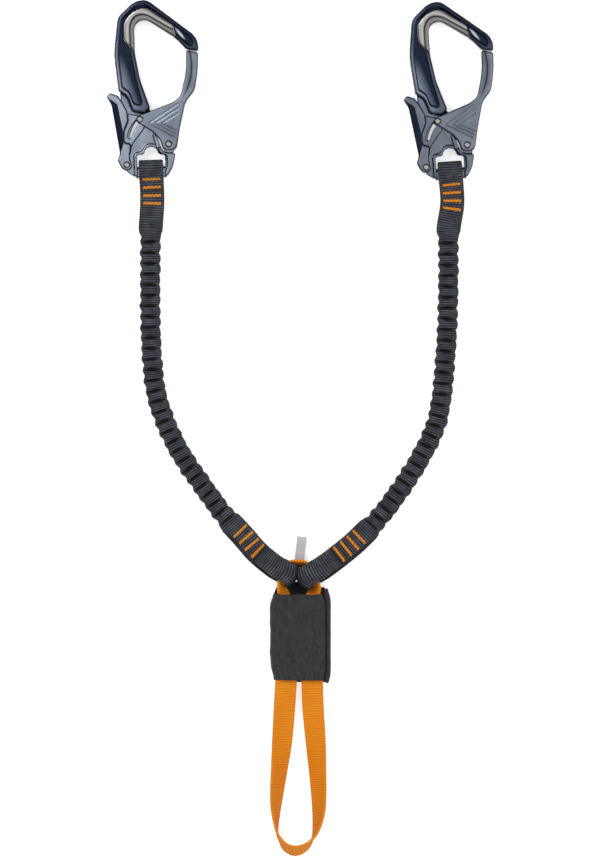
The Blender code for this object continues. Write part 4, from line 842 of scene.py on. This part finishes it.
def ribbon_cloth():
    """Pale grey satin ribbon with a very fine weave."""
    made, tree, shader, node = new_material("pale_label")
    split = node("SeparateXYZ", _0=(node("UVMap"), 0))
    line = wave_of(node, "SINE", (split, 0), 2 * math.pi / TAB_RIB)
    where = node("TexCoord")
    fuzz = noise(node, where, 900.0, 3.0)
    height = calc(node, "MULTIPLY_ADD", (line, 0), 0.2, (fuzz, 0))
    colour = ramp(node, (height, 0), (0.25, (0.42, 0.41, 0.44)), (0.75, (0.60, 0.59, 0.63)))
    relief = node("Bump", Strength=0.3, Distance=0.0001, Height=(height, 0))
    feed(tree, shader, Base_Color=(colour, 0), Normal=(relief, 0), Roughness=0.45)
    return made


tab = strap("plain_tab", TAB, TAB_THICKNESS, ribbon_cloth(), rib=TAB_RIB, relief=0.00001)
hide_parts("label_tab")
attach(tab, "absorber")

# Connectors. The frame, gate and palm lever are forged from aluminium alloy, tumbled and anodised
# blue-grey. Their edges, slopes and the hook's pockets are painted navy as shade and dark
# reflections, with painted highlights on the hook. The crook's insert and the rivets are steel.
PLATE_MIDDLE = 0.0075
# Navy of the painted shade and dark reflections on edges, slopes and pockets.
PAINTED_SHADE_NAVY = (0.016, 0.022, 0.042, 1.0)
FRAME_TONES = ((0.23, 0.265, 0.325), (0.31, 0.35, 0.42))
GATE_TONES = ((0.185, 0.215, 0.265), (0.255, 0.29, 0.35))
LEVER_TONES = ((0.28, 0.32, 0.39), (0.36, 0.40, 0.475))
# Shares that scale each connector's alloy tones: the right connector's darker tones are painted
# shade, not another alloy.
PAINTED_SHADE_SHARES = {"left": (1.0, 1.0, 1.0), "right": (0.62, 0.86, 0.52)}


def own_frame(node, where, bar, turn):
    """Give a connector's own frame, which starts at the middle of its bar, and its x, y and z."""
    local = node("Mapping", {"vector_type": "TEXTURE"}, Vector=(where, "Object"),
                 Location=(*bar, PLATE_MIDDLE), Rotation=(0.0, 0.0, turn))
    return local, node("SeparateXYZ", _0=(local, 0))


def blade_tones(node, face, split):
    """Paint shade on the gate's blade: a painted dark line along x = 0.0364 - 11 (y - 0.087)^2
    stands in for the shade of the crease between the real blade's flat side and its hollow one,
    and painted shade fades out to both sides of it."""
    lift = calc(node, "SUBTRACT", (split, 1), 0.087)
    square = calc(node, "MULTIPLY", (lift, 0), (lift, 0))
    bow = calc(node, "MULTIPLY_ADD", (square, 0), 11.0, (split, 0))
    beside = spread(node, (bow, 0), 0.0304, 0.0424)
    crease = ramp(node, (beside, 0), (0.0, (0.92, 0.92, 0.92)), (0.36, (0.78, 0.78, 0.78)),
                  (0.44, (0.62, 0.62, 0.64)), (0.48, (0.12, 0.13, 0.16)),
                  (0.53, (0.12, 0.13, 0.16)), (0.57, (0.66, 0.66, 0.68)), (0.72, (1.0, 1.0, 1.0)))
    blade = spread(node, (split, 1), 0.0590, 0.0680)
    return mix(node, (blade, 0), (face, 0), (crease, 0), blend_type="MULTIPLY")


def hook_tones(node, face, local, split):
    """Paint light and shade on the hook beyond the line 0.81 x + 0.585 y = 0.0185: a rounder rim,
    darkened as a painted reflection and palest along the spine, and pockets painted navy as shade.
    The spine's pocket's painted shade turns pale where x + 0.309 y falls below 0.0105, and a slim
    oval of painted highlight gleams in the nose's pocket. Also give the radius of the rounded
    edges."""
    leaning = calc(node, "MULTIPLY", (split, 0), 0.81)
    beyond = calc(node, "MULTIPLY_ADD", (split, 1), 0.585, (leaning, 0))
    past = spread(node, (beyond, 0), 0.0175, 0.0190)
    above = spread(node, (split, 1), 0.0440, 0.0470)
    hook = calc(node, "MINIMUM", (past, 0), (above, 0))
    radius = spread(node, (hook, 0), 0.0, 1.0, 0.0017, 0.0023)
    depth = calc(node, "ABSOLUTE", (split, 2))
    level = spread(node, (depth, 0), 0.0045, 0.0062)
    high = spread(node, (split, 1), 0.0850, 0.1120)
    # Painted reflection: the rim is lighter low on the spine and darker towards the nose.
    rim_reflection = ramp(node, (high, 0), (0.0, (0.26, 0.30, 0.38)), (1.0, (0.055, 0.070, 0.105)))
    aside = spread(node, (split, 0), -0.0180, -0.0120, 1.0, 0.35)
    weaker = calc(node, "MULTIPLY", (aside, 0), (level, 0))
    lean = calc(node, "MULTIPLY_ADD", (split, 1), 0.309, (split, 0))
    ledge = spread(node, (lean, 0), 0.0105, 0.0030)
    lower = spread(node, (split, 1), 0.1000, 0.0850)
    pale = calc(node, "MULTIPLY", (ledge, 0), (lower, 0))
    pocket = mix(node, (pale, 0), PAINTED_SHADE_NAVY, (0.19, 0.225, 0.30, 1.0))
    oval = node("Mapping", {"vector_type": "TEXTURE"}, Vector=(local, 0),
                Location=(0.0279, 0.1131, 0.0), Rotation=(0.0, 0.0, -0.92),
                Scale=(0.0072, 0.0014, 1.0))
    away = node("VectorMath", {"operation": "LENGTH"}, _0=(oval, 0))
    gleam = spread(node, (away, "Value"), 1.0, 0.4)
    pocket = mix(node, (gleam, 0), (pocket, 0), (0.52, 0.56, 0.62, 1.0))
    rim = mix(node, (weaker, 0), (pocket, 0), (rim_reflection, 0))
    return mix(node, (hook, 0), (face, 0), (rim, 0)), radius


def edge_agreement(node, round_edge):
    """Give how far the bevelled normal agrees with the true one: 1 off the edges, less on them."""
    geometry = node("NewGeometry")
    return node("VectorMath", {"operation": "DOT_PRODUCT"}, _0=(round_edge, 0),
                _1=(geometry, "True Normal"))


def anodised_alloy(name, tones, slope_shade, slope_end, hook_at=None, gate_at=None):
    """Satin anodised alloy whose flat faces are pale blue-grey and whose edges and slopes are
    painted navy as shade and dark reflections. Slopes take that painted navy, by a share given
    after the tones, where the normal's height is down to slope_end. Hook_at and gate_at give the
    bar's place and turn where the piece has the painted tones of the hook or the blade."""
    made, tree, shader, node = new_material(name)
    where = node("TexCoord")
    facing = node("SeparateXYZ", _0=(where, "Normal"))
    cloud = noise(node, where, 90.0, 3.0)
    face = ramp(node, (cloud, 0), (0.3, tones[0]), (0.7, tones[1]))
    radius = 0.0021
    if gate_at:
        face = blade_tones(node, face, own_frame(node, where, *gate_at)[1])
    if hook_at:
        face, rounder = hook_tones(node, face, *own_frame(node, where, *hook_at))
        radius = (rounder, 0)
    round_edge = node("Bevel", {"samples": 8}, Radius=radius)
    # Painted shade: edges and slopes are mixed towards navy, standing in for dark reflections.
    edge = spread(node, (edge_agreement(node, round_edge), "Value"), 0.998, 0.95)
    flat = calc(node, "ABSOLUTE", (facing, 2))
    slope = spread(node, (flat, 0), 0.996, slope_end, 0.0, slope_shade)
    painted_edge_shade = calc(node, "MAXIMUM", (edge, 0), (slope, 0))
    toned = mix(node, (painted_edge_shade, 0), (face, 0), PAINTED_SHADE_NAVY)
    grain = noise(node, where, 1600.0, 2.0)
    relief = node("Bump", Strength=0.06, Distance=0.0001, Height=(grain, 0), Normal=(round_edge, 0))
    rough = spread(node, (cloud, 0), 0.0, 1.0, 0.16, 0.30)
    feed(tree, shader, Base_Color=(toned, 0), Normal=(relief, 0), Roughness=(rough, 0),
         Metallic=1.0)
    return made


def crook_steel(name, bar, turn):
    """Polished steel with painted reflections, toned by its distance from the crook's edge: mid
    grey, a painted dark line, a painted bright crown, and a grey outer rim with painted shade that
    darkens towards the nose. In the connector's own frame the crook's sides lie at s1 = -(x +
    0.0105) and s2 = 0.537 x + 0.843 y - 0.1070, and the distance is the length of (max(s1 + 0.016,
    0), max(s2 + 0.016, 0)) less 0.016."""
    made, tree, shader, node = new_material(name)
    where = node("TexCoord")
    split = own_frame(node, where, bar, turn)[1]
    first = calc(node, "SUBTRACT", -0.0105 + 0.0160, (split, 0))
    part = calc(node, "MULTIPLY_ADD", (split, 0), 0.537, -0.1070 + 0.0160)
    second = calc(node, "MULTIPLY_ADD", (split, 1), 0.843, (part, 0))
    first, second = (calc(node, "MAXIMUM", (value, 0), 0.0) for value in (first, second))
    both = node("CombineXYZ", _0=(first, 0), _1=(second, 0))
    reach = node("VectorMath", {"operation": "LENGTH"}, _0=(both, 0))
    share = spread(node, (reach, "Value"), 0.0160, 0.0260)
    tone = ramp(node, (share, 0), (0.00, (0.08, 0.08, 0.08)), (0.07, (0.26, 0.255, 0.24)),
                (0.21, (0.22, 0.215, 0.205)), (0.26, (0.035, 0.035, 0.035)),
                (0.32, (0.03, 0.03, 0.03)), (0.37, (0.26, 0.255, 0.24)),
                (0.46, (0.52, 0.51, 0.49)), (0.60, (0.42, 0.41, 0.39)),
                (0.80, (0.15, 0.145, 0.135)))
    nose = spread(node, (split, 0), -0.0040, 0.0080)
    outer = spread(node, (share, 0), 0.46, 0.66)
    shaded = calc(node, "MULTIPLY", (nose, 0), (outer, 0))
    tone = mix(node, (shaded, 0), (tone, 0), (0.085, 0.082, 0.076, 1.0))
    round_edge = node("Bevel", {"samples": 6}, Radius=0.0010)
    smear = noise(node, where, 150.0, 2.0)
    rough = spread(node, (smear, 0), 0.0, 1.0, 0.12, 0.26)
    feed(tree, shader, Base_Color=(tone, 0), Normal=(round_edge, 0), Roughness=(rough, 0),
         Metallic=1.0)
    return made


def rivet_steel():
    """Turned steel pins, painted dark at their rims as shade and dark reflections, where the
    bevelled normal leaves the true one.
    """
    made, tree, shader, node = new_material("pin_steel")
    where = node("TexCoord")
    round_edge = node("Bevel", {"samples": 8}, Radius=0.0012)
    tone = ramp(node, (edge_agreement(node, round_edge), "Value"), (0.90, (0.07, 0.065, 0.06)),
                (0.975, (0.26, 0.245, 0.22)), (1.0, (0.42, 0.40, 0.36)))
    smear = noise(node, where, 900.0, 2.0)
    rough = spread(node, (smear, 0), 0.0, 1.0, 0.12, 0.30)
    feed(tree, shader, Base_Color=(tone, 0), Normal=(round_edge, 0), Roughness=(rough, 0),
         Metallic=1.0)
    return made


def scaled(tones, share):
    """Scale every value of some colours by one share."""
    return [tuple(share * value for value in colour) for colour in tones]


pin_steel = rivet_steel()
for side, (frame_share, gate_share, lever_share) in PAINTED_SHADE_SHARES.items():
    at = ((np.array(BARS[side]) + SHIFT).tolist(), TURNS[side])
    finishes = {
        "carabiner_frame": anodised_alloy(
            f"frame_alloy_{side}", scaled(FRAME_TONES, frame_share), 0.5, 0.93, hook_at=at),
        "gate": anodised_alloy(
            f"gate_alloy_{side}", scaled(GATE_TONES, gate_share), 0.35, 0.90, gate_at=at),
        "palm_lever": anodised_alloy(
            f"lever_alloy_{side}", scaled(LEVER_TONES, lever_share), 1.0, 0.980),
        "wear_insert": crook_steel(f"crook_steel_{side}", *at),
    }
    for piece in ("gate_rivet", "lever_rivet", "guide_pin", "gate_spring", "lever_spring"):
        finishes[piece] = pin_steel
    for piece, finish in finishes.items():
        bpy.data.objects[f"{piece}_{side}"].material_slots[0].material = finish
